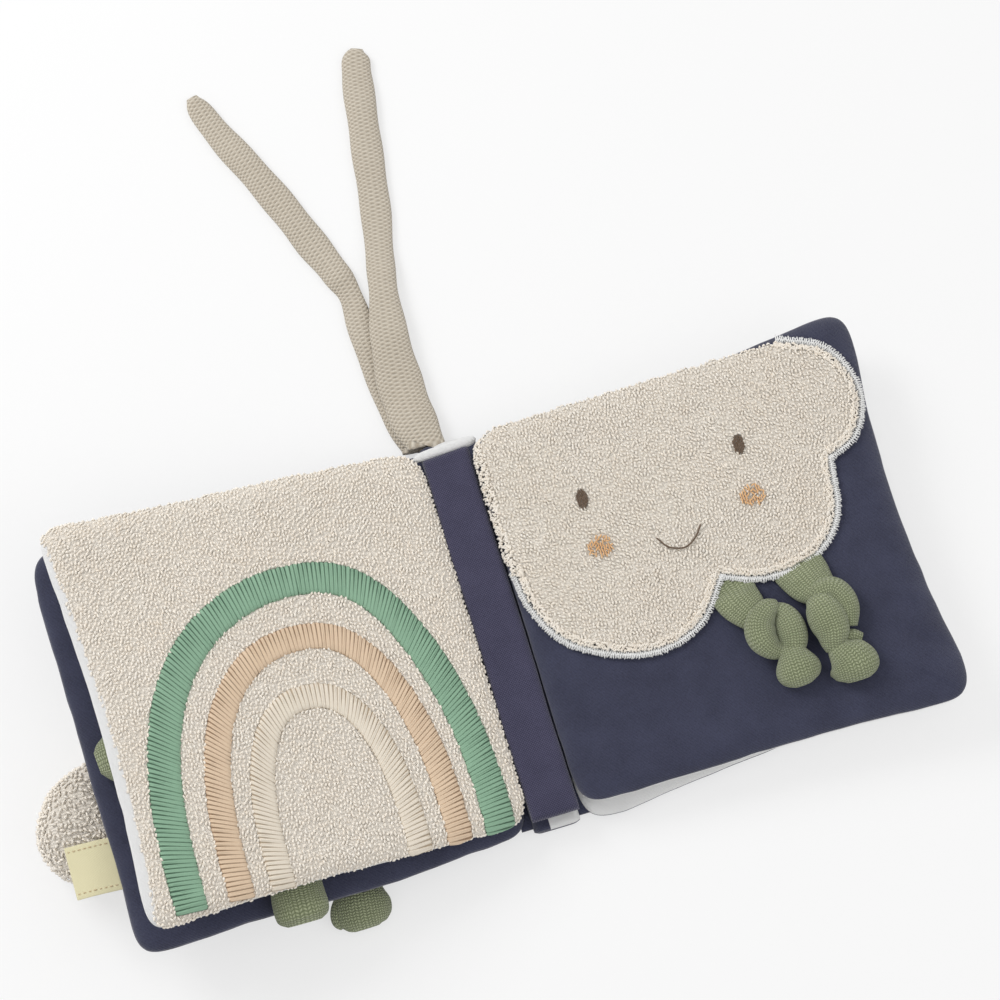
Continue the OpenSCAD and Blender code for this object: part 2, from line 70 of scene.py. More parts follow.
# Ties
# Two flattened tubes of beige canvas, sewn from a folded strip and caught in the head end of the spine.
# They are soft enough to lie on the table, one over the other, and taper to a turned-in end.
TIE_RIGHT = [(-6, 82.8, 5.4, 7.6), (-6, 85, 5.4, 8.2), (-8, 98, 5, 9.6), (-8.5, 114, 5, 9.4),
             (-7, 133, 5, 8), (-4, 152, 4.4, 6.2), (-1, 168, 2.4, 6), (3, 188, 1.8, 6.4),
             (6, 208, 1.8, 6.6), (9, 228, 1.8, 6.6), (12, 247, 1.8, 6.5), (14, 256, 1.8, 5.6),
             (15.5, 260, 1.8, 2.6)]
TIE_LEFT = [(-10, 82.8, 1.8, 6), (-10, 85, 1.8, 6), (-13.5, 98, 1.8, 6), (-15.5, 116, 1.8, 6),
            (-17, 137, 1.8, 5.8), (-17.5, 155, 1.8, 5.3), (-21, 167, 1.8, 6.2), (-26.8, 182, 1.8, 6.8),
            (-33.6, 200, 1.8, 6.7), (-41.6, 219, 1.8, 6.5), (-50.3, 238, 1.8, 6), (-56, 253, 1.8, 4.8),
            (-57.6, 259, 1.8, 2.4)]
TIE_HALF_THICKNESS = 1.9 * MM
TIE_THREAD = 0.86 * MM
TIE_REST = 1.8 * MM
CANVAS_HIGH, CANVAS_LOW = (0.69, 0.63, 0.53), (0.42, 0.36, 0.28)


def smooth_path(points, steps):
    """A smooth curve through the points, with a number of steps between each two."""
    p = np.array(points, float)
    p = np.vstack([2 * p[0] - p[1], p, 2 * p[-1] - p[-2]])
    out = []
    for a, b, c, d in zip(p, p[1:], p[2:], p[3:]):
        for t in np.arange(steps) / steps:
            out.append(0.5 * (2 * b + (c - a) * t + (2 * a - 5 * b + 4 * c - d) * t * t
                              + (3 * b - a - 3 * c + d) * t ** 3))
    return np.array(out + [p[-2]])


def unit(vectors):
    return vectors / np.maximum(np.linalg.norm(vectors, axis=-1, keepdims=True), 1e-12)


def calc(tree, operation, a, b=0.0):
    """One Math node. Its operands are numbers or other nodes' outputs."""
    node = tree.nodes.new("ShaderNodeMath")
    node.operation = operation
    for socket, value in zip(node.inputs, (a, b)):
        if isinstance(value, (int, float)):
            socket.default_value = value
        else:
            tree.links.new(value, socket)
    return node.outputs[0]


def wave(tree, x, turn, kind="SINE"):
    """A sine or cosine of a value times a turn."""
    return calc(tree, kind, calc(tree, "MULTIPLY", x, turn))


def pattern(name, build):
    """A node group that turns a place on the cloth and a pitch into the height of its threads."""
    tree = bpy.data.node_groups.new(name, "ShaderNodeTree")
    tree.interface.new_socket("Vector", in_out="INPUT", socket_type="NodeSocketVector")
    tree.interface.new_socket("Pitch", in_out="INPUT", socket_type="NodeSocketFloat")
    tree.interface.new_socket("Height", in_out="OUTPUT", socket_type="NodeSocketFloat")
    start, end = tree.nodes.new("NodeGroupInput"), tree.nodes.new("NodeGroupOutput")
    split = tree.nodes.new("ShaderNodeSeparateXYZ")
    tree.links.new(start.outputs["Vector"], split.inputs[0])
    x = calc(tree, "DIVIDE", split.outputs["X"], start.outputs["Pitch"])
    y = calc(tree, "DIVIDE", split.outputs["Y"], start.outputs["Pitch"])
    tree.links.new(build(tree, x, y), end.inputs["Height"])
    return tree


def plain_weave(tree, x, y):
    """Threads that pass over and under each other: bumps on a chequered grid."""
    both = calc(tree, "MULTIPLY", wave(tree, x, math.pi), wave(tree, y, math.pi))
    return calc(tree, "MULTIPLY_ADD", both, 0.5)


def new_stuff(name):
    """A new material and its node tree."""
    made = bpy.data.materials.new(name)
    made.use_nodes = True
    return made, made.node_tree


def noises(tree, *grains):
    """Uneven tones over a cloth, one for each size and detail."""
    where = tree.nodes.new("ShaderNodeTexCoord").outputs["Object"]
    tones = []
    for size, detail in grains:
        noise = tree.nodes.new("ShaderNodeTexNoise")
        noise.inputs["Scale"].default_value = 1 / size
        noise.inputs["Detail"].default_value = detail
        tree.links.new(where, noise.inputs["Vector"])
        tones.append(noise.outputs["Fac"])
    return tones


def finish_cloth(tree, share, high, low, height, strength, depth, rough, sheen):
    """Colour from a low to a high tone, the relief of the threads and a soft sheen."""
    shader = tree.nodes["Principled BSDF"]
    ramp = tree.nodes.new("ShaderNodeMix")
    ramp.data_type = "RGBA"
    ramp.clamp_factor = True
    tree.links.new(share, ramp.inputs["Factor"])
    ramp.inputs["A"].default_value = (*low, 1)
    ramp.inputs["B"].default_value = (*high, 1)
    tree.links.new(ramp.outputs["Result"], shader.inputs["Base Color"])
    bump = tree.nodes.new("ShaderNodeBump")
    bump.inputs["Strength"].default_value = strength
    bump.inputs["Distance"].default_value = depth
    tree.links.new(height, bump.inputs["Height"])
    tree.links.new(bump.outputs["Normal"], shader.inputs["Normal"])
    shader.inputs["Roughness"].default_value = rough
    shader.inputs["Sheen Weight"].default_value = sheen
    shader.inputs["Specular IOR Level"].default_value = 0.2


def cloth(name, group, pitch, high, low, depth, rough=0.9, sheen=0.25, mottle=0.10, flat=True,
          patch=14 * MM, grain=None):
    """A cloth whose threads come from a pattern group, with the uneven tone of dyed yarn and painted shade:
    its colour runs to the low tone in the gaps between the threads.
    """
    made, tree = new_stuff(name)
    place = tree.nodes.new("ShaderNodeTexCoord").outputs["Object" if flat else "UV"]
    threads = tree.nodes.new("ShaderNodeGroup")
    threads.node_tree = group
    threads.inputs["Pitch"].default_value = pitch
    tree.links.new(place, threads.inputs["Vector"])
    tones = noises(tree, (patch, 2.0), (grain or pitch * 1.6, 3.0))
    uneven = calc(tree, "MULTIPLY", calc(tree, "SUBTRACT", calc(tree, "ADD", *tones), 1.0), mottle * 8)
    # Painted shade: the height of the threads darkens the colour towards the low tone in the gaps of the
    # weave or knit
    share = calc(tree, "ADD", threads.outputs["Height"], uneven)
    height = calc(tree, "ADD", threads.outputs["Height"], calc(tree, "MULTIPLY", tones[1], 0.6))
    finish_cloth(tree, share, high, low, height, 1.0, depth, rough, sheen)
    return made


def put(name, points, faces, materials, uv=None):
    """A new smooth-shaded mesh object at the origin."""
    mesh = bpy.data.meshes.new(name)
    mesh.from_pydata(np.asarray(points, float).tolist(), [], faces)
    if uv is not None:
        mesh.uv_layers.new(name="cloth").data.foreach_set("uv", np.asarray(uv, np.float32).ravel())
    for m in materials:
        mesh.materials.append(m)
    mesh.shade_smooth()
    piece = bpy.data.objects.new(name, mesh)
    scene.collection.objects.link(piece)
    return piece


def bearings(centres):
    """The sideways and upward directions at each point of a line that runs about level."""
    ahead = unit(np.gradient(centres, axis=0))
    across = unit(np.cross(ahead, (0, 0, 1)))
    return across, np.cross(across, ahead)


def tube_parts(centres, sides, ups, half_w, half_h, around, power=2.0):
    """Points, faces and UVs in metres of a closed tube whose section is a rounded oval."""
    n = len(centres)
    turn = 2 * math.pi * np.arange(around) / around
    c, s = np.cos(turn), np.sin(turn)
    oval = np.stack([np.sign(c) * abs(c) ** (2 / power), np.sign(s) * abs(s) ** (2 / power)], 1)
    rings = (centres[:, None] + sides[:, None] * (half_w[:, None] * oval[:, 0])[..., None]
             + ups[:, None] * (half_h[:, None] * oval[:, 1])[..., None])
    points = np.vstack([rings.reshape(-1, 3), centres[:1], centres[-1:]])
    along = np.concatenate([[0], np.cumsum(np.linalg.norm(np.diff(centres, axis=0), axis=1))])
    girth = 2 * (half_w + half_h)
    faces, uv = [], []
    for i in range(n - 1):
        for k in range(around):
            j = (k + 1) % around
            faces.append((i * around + k, i * around + j, (i + 1) * around + j, (i + 1) * around + k))
            for row, step in ((i, k), (i, k + 1), (i + 1, k + 1), (i + 1, k)):
                uv.append(((step / around - 0.25) * girth[row], along[row]))
    for k in range(around):
        j = (k + 1) % around
        faces.append((n * around, j, k))
        faces.append((n * around + 1, (n - 1) * around + k, (n - 1) * around + j))
        uv += [(0, along[0])] * 3 + [(0, along[-1])] * 3
    return points, faces, uv


def dress(piece, body, slot, *replaced):
    """The piece moves with a body and stands for its solids. The slot is not used."""
    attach(piece, body)
    if replaced:
        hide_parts(*replaced)


weave = pattern("plain weave", plain_weave)
canvas = cloth("beige canvas", weave, TIE_THREAD, CANVAS_HIGH, CANVAS_LOW, 0.45 * MM, flat=False,
               mottle=0.03)
for side, route in (("left", TIE_LEFT), ("right", TIE_RIGHT)):
    line = smooth_path(route, 14) * MM
    centres = line[:, :3].copy()
    run = np.linspace(0, 1, len(line))
    across, up = bearings(centres)
    # A tie is fullest along its middle, pinched where it is creased, and flat at its end
    crease = np.exp(-((run - 0.42) / 0.035) ** 2) if side == "left" else 0 * run
    fullness = 1 + 0.12 * np.sin(19 * run) + 0.08 * np.sin(41 * run + 1)
    thick = TIE_HALF_THICKNESS * fullness * (1 - 0.4 * crease) * np.clip((1 - run) / 0.03, 0.35, 1)
    centres[:, 2] += np.maximum(thick - TIE_REST, 0)
    wide = line[:, 3] * (1 + 0.03 * np.sin(57 * run)) * (1 - 0.06 * crease)
    points, faces, uv = tube_parts(centres, across, up, wide, thick, 28, 2.3)
    tie = put("tie_%s_canvas" % side, points, faces, [canvas], uv)
    dress(tie, "book_block", "beige_canvas", "tie_" + side)


# Covers
# Each is a pad of wadding between two cloths, navy jersey outside and jersey or velour inside, sewn
# right sides together and turned, so the seam is pulled in and puckers the cloth beside it.
HINGE_X, HINGE_Z = 12.7 * MM, 4 * MM
COVER_TILT = math.radians(9.5)
COVER_LENGTH, COVER_HALF = 158.5 * MM, 82.5 * MM
HALF_THICK, RIM = 4 * MM, 9 * MM
SEAM_PULL = 0.9 * MM
CLEARANCE = 0.05 * MM
NAVY_HIGH, NAVY_LOW = (0.060, 0.066, 0.122), (0.021, 0.023, 0.050)
WHITE_HIGH, WHITE_LOW = (0.93, 0.93, 0.925), (0.85, 0.85, 0.845)


class Leaf:
    """The frame of a page or cover: out from the gutter, towards the head, and up off its seam."""

    def __init__(self, side, tilt, hinge_x, hinge_z):
        self.side = side
        self.origin = np.array([side * hinge_x, 0, hinge_z])
        self.axes = np.array([[side * math.cos(tilt), 0, math.sin(tilt)], [0, 1, 0],
                              [-side * math.sin(tilt), 0, math.cos(tilt)]])

    def local(self, points):
        return (np.asarray(points) - self.origin) @ self.axes.T

    def world(self, points):
        return np.asarray(points) @ self.axes + self.origin

    def lying(self, out, headwards):
        """Directions that lie flat on the leaf."""
        return np.multiply.outer(out, self.axes[0]) + np.multiply.outer(headwards, self.axes[1])


FRONT_COVER = Leaf(-1, COVER_TILT, HINGE_X, HINGE_Z)
BACK_COVER = Leaf(1, 0, HINGE_X, HINGE_Z)


def ripple(x, length, seed):
    """A smooth random wave of about -1 to 1 along x, with a new value every length."""
    count, zero = 400, 100
    steps = np.random.default_rng(seed).uniform(-1, 1, count)
    t = np.asarray(x) / length + zero
    i = np.clip(np.floor(t).astype(int), 0, count - 2)
    f = t - i
    f = f * f * (3 - 2 * f)
    return steps[i] * (1 - f) + steps[i + 1] * f


def swell(u, v, seed):
    """How unevenly the wadding of a leaf lies under its cloth."""
    return (ripple(u + 0.4 * v, 34 * MM, seed) * ripple(v - 0.3 * u, 41 * MM, seed + 1) * 0.55 * MM
            + ripple(u - 0.7 * v, 17 * MM, seed + 2) * ripple(v, 23 * MM, seed + 3) * 0.2 * MM)


def squareness(x, y):
    """How near a place is to the outline of a rounded square: 0 in its middle, 1 on it."""
    return (abs(x) ** 16 + abs(y) ** 16) ** (1 / 16)


def half_pad(leaf, top, length, half_height, reach=0.0, ear=0.0, slip=0.0, taper=0.0, crown=0.0,
             seed=1, head=(), tail=(), outer=(), gather=1.0):
    """One cloth of a padded leaf, from its seam over its rim to the middle of its face, and closed
    underneath. Head, tail and outer are lists of (place along the edge, how far out it stands) in mm."""
    # The points of an edge stand closer together towards its corners
    turn = np.linspace(-math.pi / 2, math.pi / 2, 81)[:-1]
    along = np.sin(turn) * 0.35 + np.linspace(-1, 1, 81)[:-1] * 0.65
    walk = np.concatenate([np.stack(pair, 1) for pair in
                           ((0 * along + 1, along), (-along, 0 * along + 1),
                            (0 * along - 1, -along), (along, 0 * along - 1))])
    walk = walk / squareness(*walk.T)[:, None]
    share = 2 * RIM / length
    rings = 1 - (1 - np.cos(np.linspace(0, math.pi / 2, 13))) * share
    rings = np.concatenate([rings, np.arange(rings[-1] - 0.03, 0.03, -0.03)])
    around = np.concatenate([[0], np.cumsum(np.linalg.norm(np.diff(walk, axis=0), axis=1))]) * length / 2
    points = []
    for r in list(rings) + [0.0]:
        x, y = walk.T * r
        k = np.clip((squareness(x, y) - 1 + share) / share, 0, 1)
        lug = ear * np.maximum(x, 0) ** 2 * y * y
        u = (length + reach) / 2 * (1 + x) - reach + lug
        out = np.maximum(u, 0) / length
        v = y * (half_height - taper / 2 * out) + lug * np.sign(y) - slip * out
        w = HALF_THICK * np.sqrt(1 - k * k) + crown * (1 - squareness(x, y) ** 2)
        # The photograph's own outline, and the cloth drawn in at the seam and gathered beside it
        for edge, place, toward, axis in ((head, u, y, 1), (tail, u, -y, -1), (outer, v, x, 0)):
            if len(edge):
                knots = np.array(edge, float) * MM
                push = np.interp(place, knots[:, 0], knots[:, 1]) * np.maximum(toward, 0) ** 5
                u, v = (u + push, v) if axis == 0 else (u, v + axis * push)
        inward = (SEAM_PULL * np.exp(-(w / (1.1 * MM)) ** 2)
                  + 0.25 * MM * k * ripple(around, 7 * MM, seed + 5))
        u, v = u - inward * np.sign(x) * abs(x) ** 12, v - inward * np.sign(y) * abs(y) ** 12
        # Fine pleats end within 5 mm of the seam, and wide ones within 12 mm
        depth = (1 - r) * length / 2
        pleat = (ripple(around, 3.1 * MM, seed + 8) * np.exp(-depth / (5 * MM)) * 0.22
                 + ripple(around, 7.3 * MM, seed + 9) * np.exp(-depth / (12 * MM)) * 0.4) * MM * gather
        w = w + (pleat + swell(u, v, seed)) * np.sqrt(1 - k * k)
        if not crown:
            # A side that lies on the table is pressed flat
            w = np.minimum(w, HALF_THICK - CLEARANCE)
        points.append(np.stack([u, v, w], 1))
    n, m = len(walk), len(rings)
    middle = points.pop()[:1]
    under = np.vstack([points[0] * (0.5, 0.5, 0) + middle * (0.5, 0.5, 0), middle * (1, 1, 0)])
    under[:, 2] = CLEARANCE
    shape = np.vstack(points + [middle, under])
    shape[:, 2] *= top
    faces = []
    for i in range(n):
        j = (i + 1) % n
        faces += [(a * n + i, a * n + j, (a + 1) * n + j, (a + 1) * n + i) for a in range(m - 1)]
        faces += [((m - 1) * n + i, (m - 1) * n + j, m * n), (i, m * n + 1 + i, m * n + 1 + j, j),
                  (m * n + 1 + i, m * n + 1 + n, m * n + 1 + j)]
    if top * leaf.side < 0:
        faces = [f[::-1] for f in faces]
    return leaf.world(shape), faces


def jersey(tree, x, y):
    """Fine knitting seen from its face: columns of small slanting stitches."""
    column = calc(tree, "ABSOLUTE", calc(tree, "SUBTRACT", calc(tree, "FRACT", x), 0.5))
    slant = wave(tree, calc(tree, "ADD", y, column), 2 * math.pi)
    rib = wave(tree, column, 2 * math.pi)
    return calc(tree, "MULTIPLY_ADD", calc(tree, "MULTIPLY", slant, rib), 0.5)


jersey_group = pattern("jersey", jersey)
navy = cloth("navy jersey", jersey_group, 0.55 * MM, NAVY_HIGH, NAVY_LOW, 0.16 * MM, sheen=0.45)
velour = cloth("white velour", jersey_group, 0.5 * MM, WHITE_HIGH, WHITE_LOW, 0.15 * MM, sheen=0.3,
               mottle=0.04)
COVER = dict(length=COVER_LENGTH, half_height=COVER_HALF, reach=2.2 * MM, ear=2 * MM)
FRONT = dict(COVER, slip=4 * MM, seed=11, tail=[(20, 0), (55, 2), (80, 2), (110, 0)],
             outer=[(-86, 1), (-60, 0.5), (-20, 2.5), (20, 3), (60, 3), (80, 1)])
BACK = dict(COVER, taper=10 * MM, seed=12,
            tail=[(0, 2.5), (15, 2.5), (35, 0.5), (60, -1.5), (90, -3), (120, -2.8), (150, -1)])
for name, leaf, panel, top, crown, body, slot, stuff in (
        ("front_cover_inside", FRONT_COVER, FRONT, 1, 0.5, "front_cover", "navy_jersey", navy),
        ("front_cover_outside", FRONT_COVER, FRONT, -1, 0, "front_cover", "navy_jersey", navy),
        ("back_cover_inside", BACK_COVER, BACK, 1, 0.5, "back_cover", "white_velour", velour),
        ("back_cover_outside", BACK_COVER, BACK, -1, 0, "back_cover", "navy_jersey", navy)):
    pad = put(name + "_cloth", *half_pad(leaf, top, crown=crown * MM, **panel), [stuff])
    dress(pad, body, slot, name)


# Spine
# A narrow pad in the same cloths, between the two hinges. Its inside is navy as far as the front
# cover's lining reaches and white beyond it.
def apply_modifiers(piece):
    bpy.ops.object.select_all(action="DESELECT")
    piece.select_set(True)
    bpy.context.view_layer.objects.active = piece
    for modifier in list(piece.modifiers):
        bpy.ops.object.modifier_apply(modifier=modifier.name)


def soft_copy(name, source, voxel, relax, materials):
    """The solid of a node as one even mesh of cloth, with its hard edges relaxed."""
    shell = bmesh.new()
    shell.from_mesh(nodes[source].data)
    bmesh.ops.remove_doubles(shell, verts=shell.verts, dist=1e-6)
    mesh = bpy.data.meshes.new(name)
    shell.to_mesh(mesh)
    shell.free()
    piece = bpy.data.objects.new(name, mesh)
    scene.collection.objects.link(piece)
    grid = piece.modifiers.new("cloth", "REMESH")
    grid.mode, grid.voxel_size = "VOXEL", voxel
    ease = piece.modifiers.new("relax", "SMOOTH")
    ease.factor, ease.iterations = 0.5, relax
    apply_modifiers(piece)
    piece.data.materials.clear()
    for m in materials:
        piece.data.materials.append(m)
    piece.data.shade_smooth()
    return piece


def points_of(piece):
    co = np.zeros(len(piece.data.vertices) * 3, np.float32)
    piece.data.vertices.foreach_get("co", co)
    return co.reshape(-1, 3).astype(float)


def reshape(piece, points):
    piece.data.vertices.foreach_set("co", np.asarray(points, np.float32).ravel())
    piece.data.update()


LINING_END = -2.7 * MM
for name, slot, stuffs in (("spine_outside", "navy_jersey", [navy]),
                           ("spine_inside", "white_velour", [velour, navy])):
    pad = soft_copy(name + "_cloth", name, 1.2 * MM, 4, stuffs)
    for face in pad.data.polygons:
        face.material_index = int(len(stuffs) > 1 and face.center.x < LINING_END)
    dress(pad, "book_block", slot, name)


# Fold of cloth at each cover's hinge
# The outside cloth runs on from the spine to the cover without padding, and the book folds there.
FOLD_HALF, FOLD_FROM, FOLD_TO = 0.7 * MM, 8.6, 14.2
for side, body in ((-1, "front_cover"), (1, "back_cover")):
    steps = np.linspace(FOLD_FROM, FOLD_TO, 15) * MM
    runs = np.linspace(-80, 80, 81) * MM
    top = [[(side * x, y, HINGE_Z + FOLD_HALF) for x in steps] for y in runs]
    low = [[(side * x, y, HINGE_Z - FOLD_HALF) for x in steps] for y in runs]
    points = np.array(top + low, float).reshape(-1, 3)
    rows, n = len(runs), len(steps)
    faces = []
    for j in range(rows - 1):
        for i in range(n - 1):
            a = j * n + i
            quad = (a, a + 1, a + n + 1, a + n)
            under = tuple(k + rows * n for k in quad)
            faces += [quad, under[::-1]] if side > 0 else [quad[::-1], under]
    ring = (list(range(n)) + [j * n + n - 1 for j in range(1, rows)]
            + [(rows - 1) * n + i for i in range(n - 2, -1, -1)] + [j * n for j in range(rows - 2, 0, -1)])
    for a, b in zip(ring, ring[1:] + ring[:1]):
        wall = (a, a + rows * n, b + rows * n, b)
        faces.append(wall if side > 0 else wall[::-1])
    fold = put("hinge_fold_" + body.split("_")[0], points, faces, [navy])
    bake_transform(fold)


# Middle spread
# White velour backs both pages in one piece. The left page is cream terry over it and the right
# page navy jersey, and each is turned at its seam, where the two cloths meet in a soft groove.
GUTTER_HALF, SEAM_Z = 10 * MM, 12.5 * MM
LEFT_TILT, RIGHT_TILT = math.radians(15), math.radians(3.5)
PAGE_LENGTH, PAGE_HALF = 157 * MM, 79 * MM
TERRY_HIGH, TERRY_LOW = (1.0, 0.94, 0.85), (0.94, 0.86, 0.75)
LEFT_PAGE = Leaf(-1, LEFT_TILT, GUTTER_HALF, SEAM_Z)
RIGHT_PAGE = Leaf(1, RIGHT_TILT, GUTTER_HALF, SEAM_Z)
PAGE = dict(length=PAGE_LENGTH, half_height=PAGE_HALF, ear=4.5 * MM)
LEFT = dict(PAGE, seed=31, head=[(0, 1.4), (25, 2), (55, 2.6), (90, 2.2), (125, 0.8), (150, 0)],
            outer=[(-84, -2.5), (-60, -2.2), (-20, -1.5), (30, -0.5), (84, 0)])
RIGHT = dict(PAGE, seed=32, head=[(0, 0), (90, -0.3), (120, 0.8), (140, 2.2), (160, 3.2)],
             outer=[(-84, 2.5), (-65, 3.8), (-40, 2), (0, 1.2), (40, 1.4), (62, 3), (84, 3.6)])


def join(parts):
    """Points, faces and UVs of several meshes as one."""
    points, faces, uv, base = [], [], [], 0
    for p, f, *t in parts:
        points.append(p)
        faces += [tuple(i + base for i in face) for face in f]
        uv += t[0] if t else []
        base += len(p)
    return np.vstack(points), faces, uv


def roll(route, half_w, half_h):
    """A soft closed roll along a few points in mm, the same width all along but for its round ends."""
    centres = smooth_path(route, 8) * MM
    run = np.linspace(-1, 1, len(centres))
    full = np.sqrt(np.maximum(1 - abs(run) ** 6, 0.02))
    return tube_parts(centres, *bearings(centres), half_w * full, half_h * full, 16)


# Under the strip the backing runs on from page to page, and stands out past the strip at the head
bridge = roll([(0, -77, 9.9), (0, -40, 10), (0, 40, 10), (0, 76.6, 10.4)], 12.5 * MM, 2.1 * MM)
head_seam = roll([(-13, 77, 12.4), (-6, 77.4, 12.8), (2, 77.8, 13.1), (9, 78, 13.4), (14, 78.2, 13.6)],
                 2.2 * MM, 2.3 * MM)
backing_parts = [half_pad(leaf, -1, crown=0.5 * MM, **panel)
                 for leaf, panel in ((LEFT_PAGE, LEFT), (RIGHT_PAGE, RIGHT))]
points, faces, _ = join(backing_parts + [part[:2] for part in (bridge, head_seam)])
backing = put("spread_backing_cloth", points, faces, [velour, navy])
# It is navy under the strip, so that no white shows beside the strip before its head end
for face in backing.data.polygons:
    face.material_index = int(abs(face.center.x) < 13 * MM and face.center.z > 10.2 * MM
                              and face.center.y < 75.5 * MM)
dress(backing, "book_block", "white_velour", "spread_backing")

night = put("night_page_cloth", *half_pad(RIGHT_PAGE, 1, crown=MM, **RIGHT), [navy])
dress(night, "book_block", "navy_jersey", "night_page")

terry_ground = cloth("terry ground", jersey_group, 1.2 * MM, TERRY_HIGH, TERRY_LOW, 0.5 * MM)
rainbow = put("rainbow_page_cloth", *half_pad(LEFT_PAGE, 1, crown=MM, gather=0.6, **LEFT),
              [terry_ground, velour])


def terry_edge(v):
    """How far out the terry of the left page reaches: the white backing wraps round past it, in a
    band of 2.6 mm at the head and 3.9 mm at the tail."""
    knots = np.array(LEFT["outer"]) * MM
    edge = PAGE_LENGTH + LEFT["ear"] * (v / PAGE_HALF) ** 2 + np.interp(v, knots[:, 0], knots[:, 1])
    return edge - 2.6 * MM - 1.3 * MM * np.clip((45 * MM - v) / (100 * MM), 0, 1)


for face in rainbow.data.polygons:
    u, v, _ = LEFT_PAGE.local(face.center)
    face.material_index = int(u > terry_edge(v) - 0.8 * MM)
dress(rainbow, "book_block", "cream_terry", "rainbow_page")


# Rainbow
# Three bands of satin stitch: parallel threads laid close together across each band and pulled tight, so
# that they shine along their length.
# The dark gaps between them are painted shade: each band's colour runs to its dark low tone in the gaps.
FOOT_V = 11 * MM - PAGE_HALF
# How high the two threads of a pair rise, at four steps along the band, and how the band rises across
PAIR = ((0.0, 0.7, 1.0, 0.95), (0.85, 0.95, 1.0, 0.7))
ACROSS = (0, 0.05, 0.16, 0.34, 0.5, 0.66, 0.84, 0.95, 1)
CROWN = (0.1, 0.7, 0.92, 1.0, 1.03, 1.0, 0.92, 0.7, 0.1)
BANDS = {"green_arch": dict(shift=-1.5, inset=8.7, down=34.5, width=12.5, lean=-8, pitch=0.85,
                            high=(0.28, 0.46, 0.32), low=(0.06, 0.125, 0.08), slot="green_thread"),
         "tan_arch": dict(shift=-3, inset=28.5, down=59, width=10, lean=-3, pitch=0.85,
                          high=(0.78, 0.60, 0.43), low=(0.32, 0.20, 0.12), slot="tan_thread"),
         "cream_arch": dict(shift=-3, inset=45.5, down=83, width=9.5, lean=0, pitch=0.87,
                            high=(0.84, 0.76, 0.64), low=(0.48, 0.38, 0.27), slot="cream_thread")}


def surface(piece):
    return BVHTree.FromObject(piece, bpy.context.evaluated_depsgraph_get())


def drop(tree, leaf, u, v):
    """The point of a surface under a place on a leaf, with its normal, or the nearest one."""
    start = Vector(leaf.world((u, v, 12 * MM)))
    hit, normal, _, _ = tree.ray_cast(start, Vector(-leaf.axes[2]))
    if hit is None:
        hit, normal, _, _ = tree.find_nearest(Vector(leaf.world((u, v, 1.5 * MM))))
    return np.array(hit), np.array(normal)


def arch(middle, half, top, lean):
    """A line of an arch in metres on the page, from its outer foot over the top to the inner foot."""
    turn = np.linspace(0, math.pi, 240)
    x, y = np.cos(turn), np.sin(turn)
    over = np.stack([middle + half * np.sign(x) * abs(x) ** 0.87 + lean * y ** 5,
                     FOOT_V + (top - FOOT_V) * y ** 0.87], 1)
    foot = np.linspace(-PAGE_HALF + 0.6 * MM, FOOT_V, 12)[:-1]
    left = np.stack([np.full(len(foot), middle + half), foot], 1)
    right = np.stack([np.full(len(foot), middle - half), foot[::-1]], 1)
    return np.vstack([left, over, right])


def evenly(line, count):
    """The same line in even steps."""
    along = np.concatenate([[0], np.cumsum(np.linalg.norm(np.diff(line, axis=0), axis=1))])
    at = np.linspace(0, along[-1], count)
    return np.stack([np.interp(at, along, line[:, k]) for k in range(line.shape[1])], 1), along[-1]


def thread_ridges(tree, x, y):
    """Threads laid in pairs, with a gap after each pair, and the twist inside a thread."""
    # Besides the bump, this height sets the colour: painted shade in the gap after each pair, and faint
    # painted highlights along the twist
    gap = calc(tree, "MAXIMUM", wave(tree, x, math.pi, "COSINE"), 0.0)
    turns = calc(tree, "ADD", calc(tree, "MULTIPLY", x, 14.0), calc(tree, "MULTIPLY", y, 9.0))
    height = calc(tree, "ADD", calc(tree, "MULTIPLY", calc(tree, "SINE", turns), 0.1), 1.0)
    return calc(tree, "SUBTRACT", height, calc(tree, "MULTIPLY", calc(tree, "POWER", gap, 1.4), 1.1))


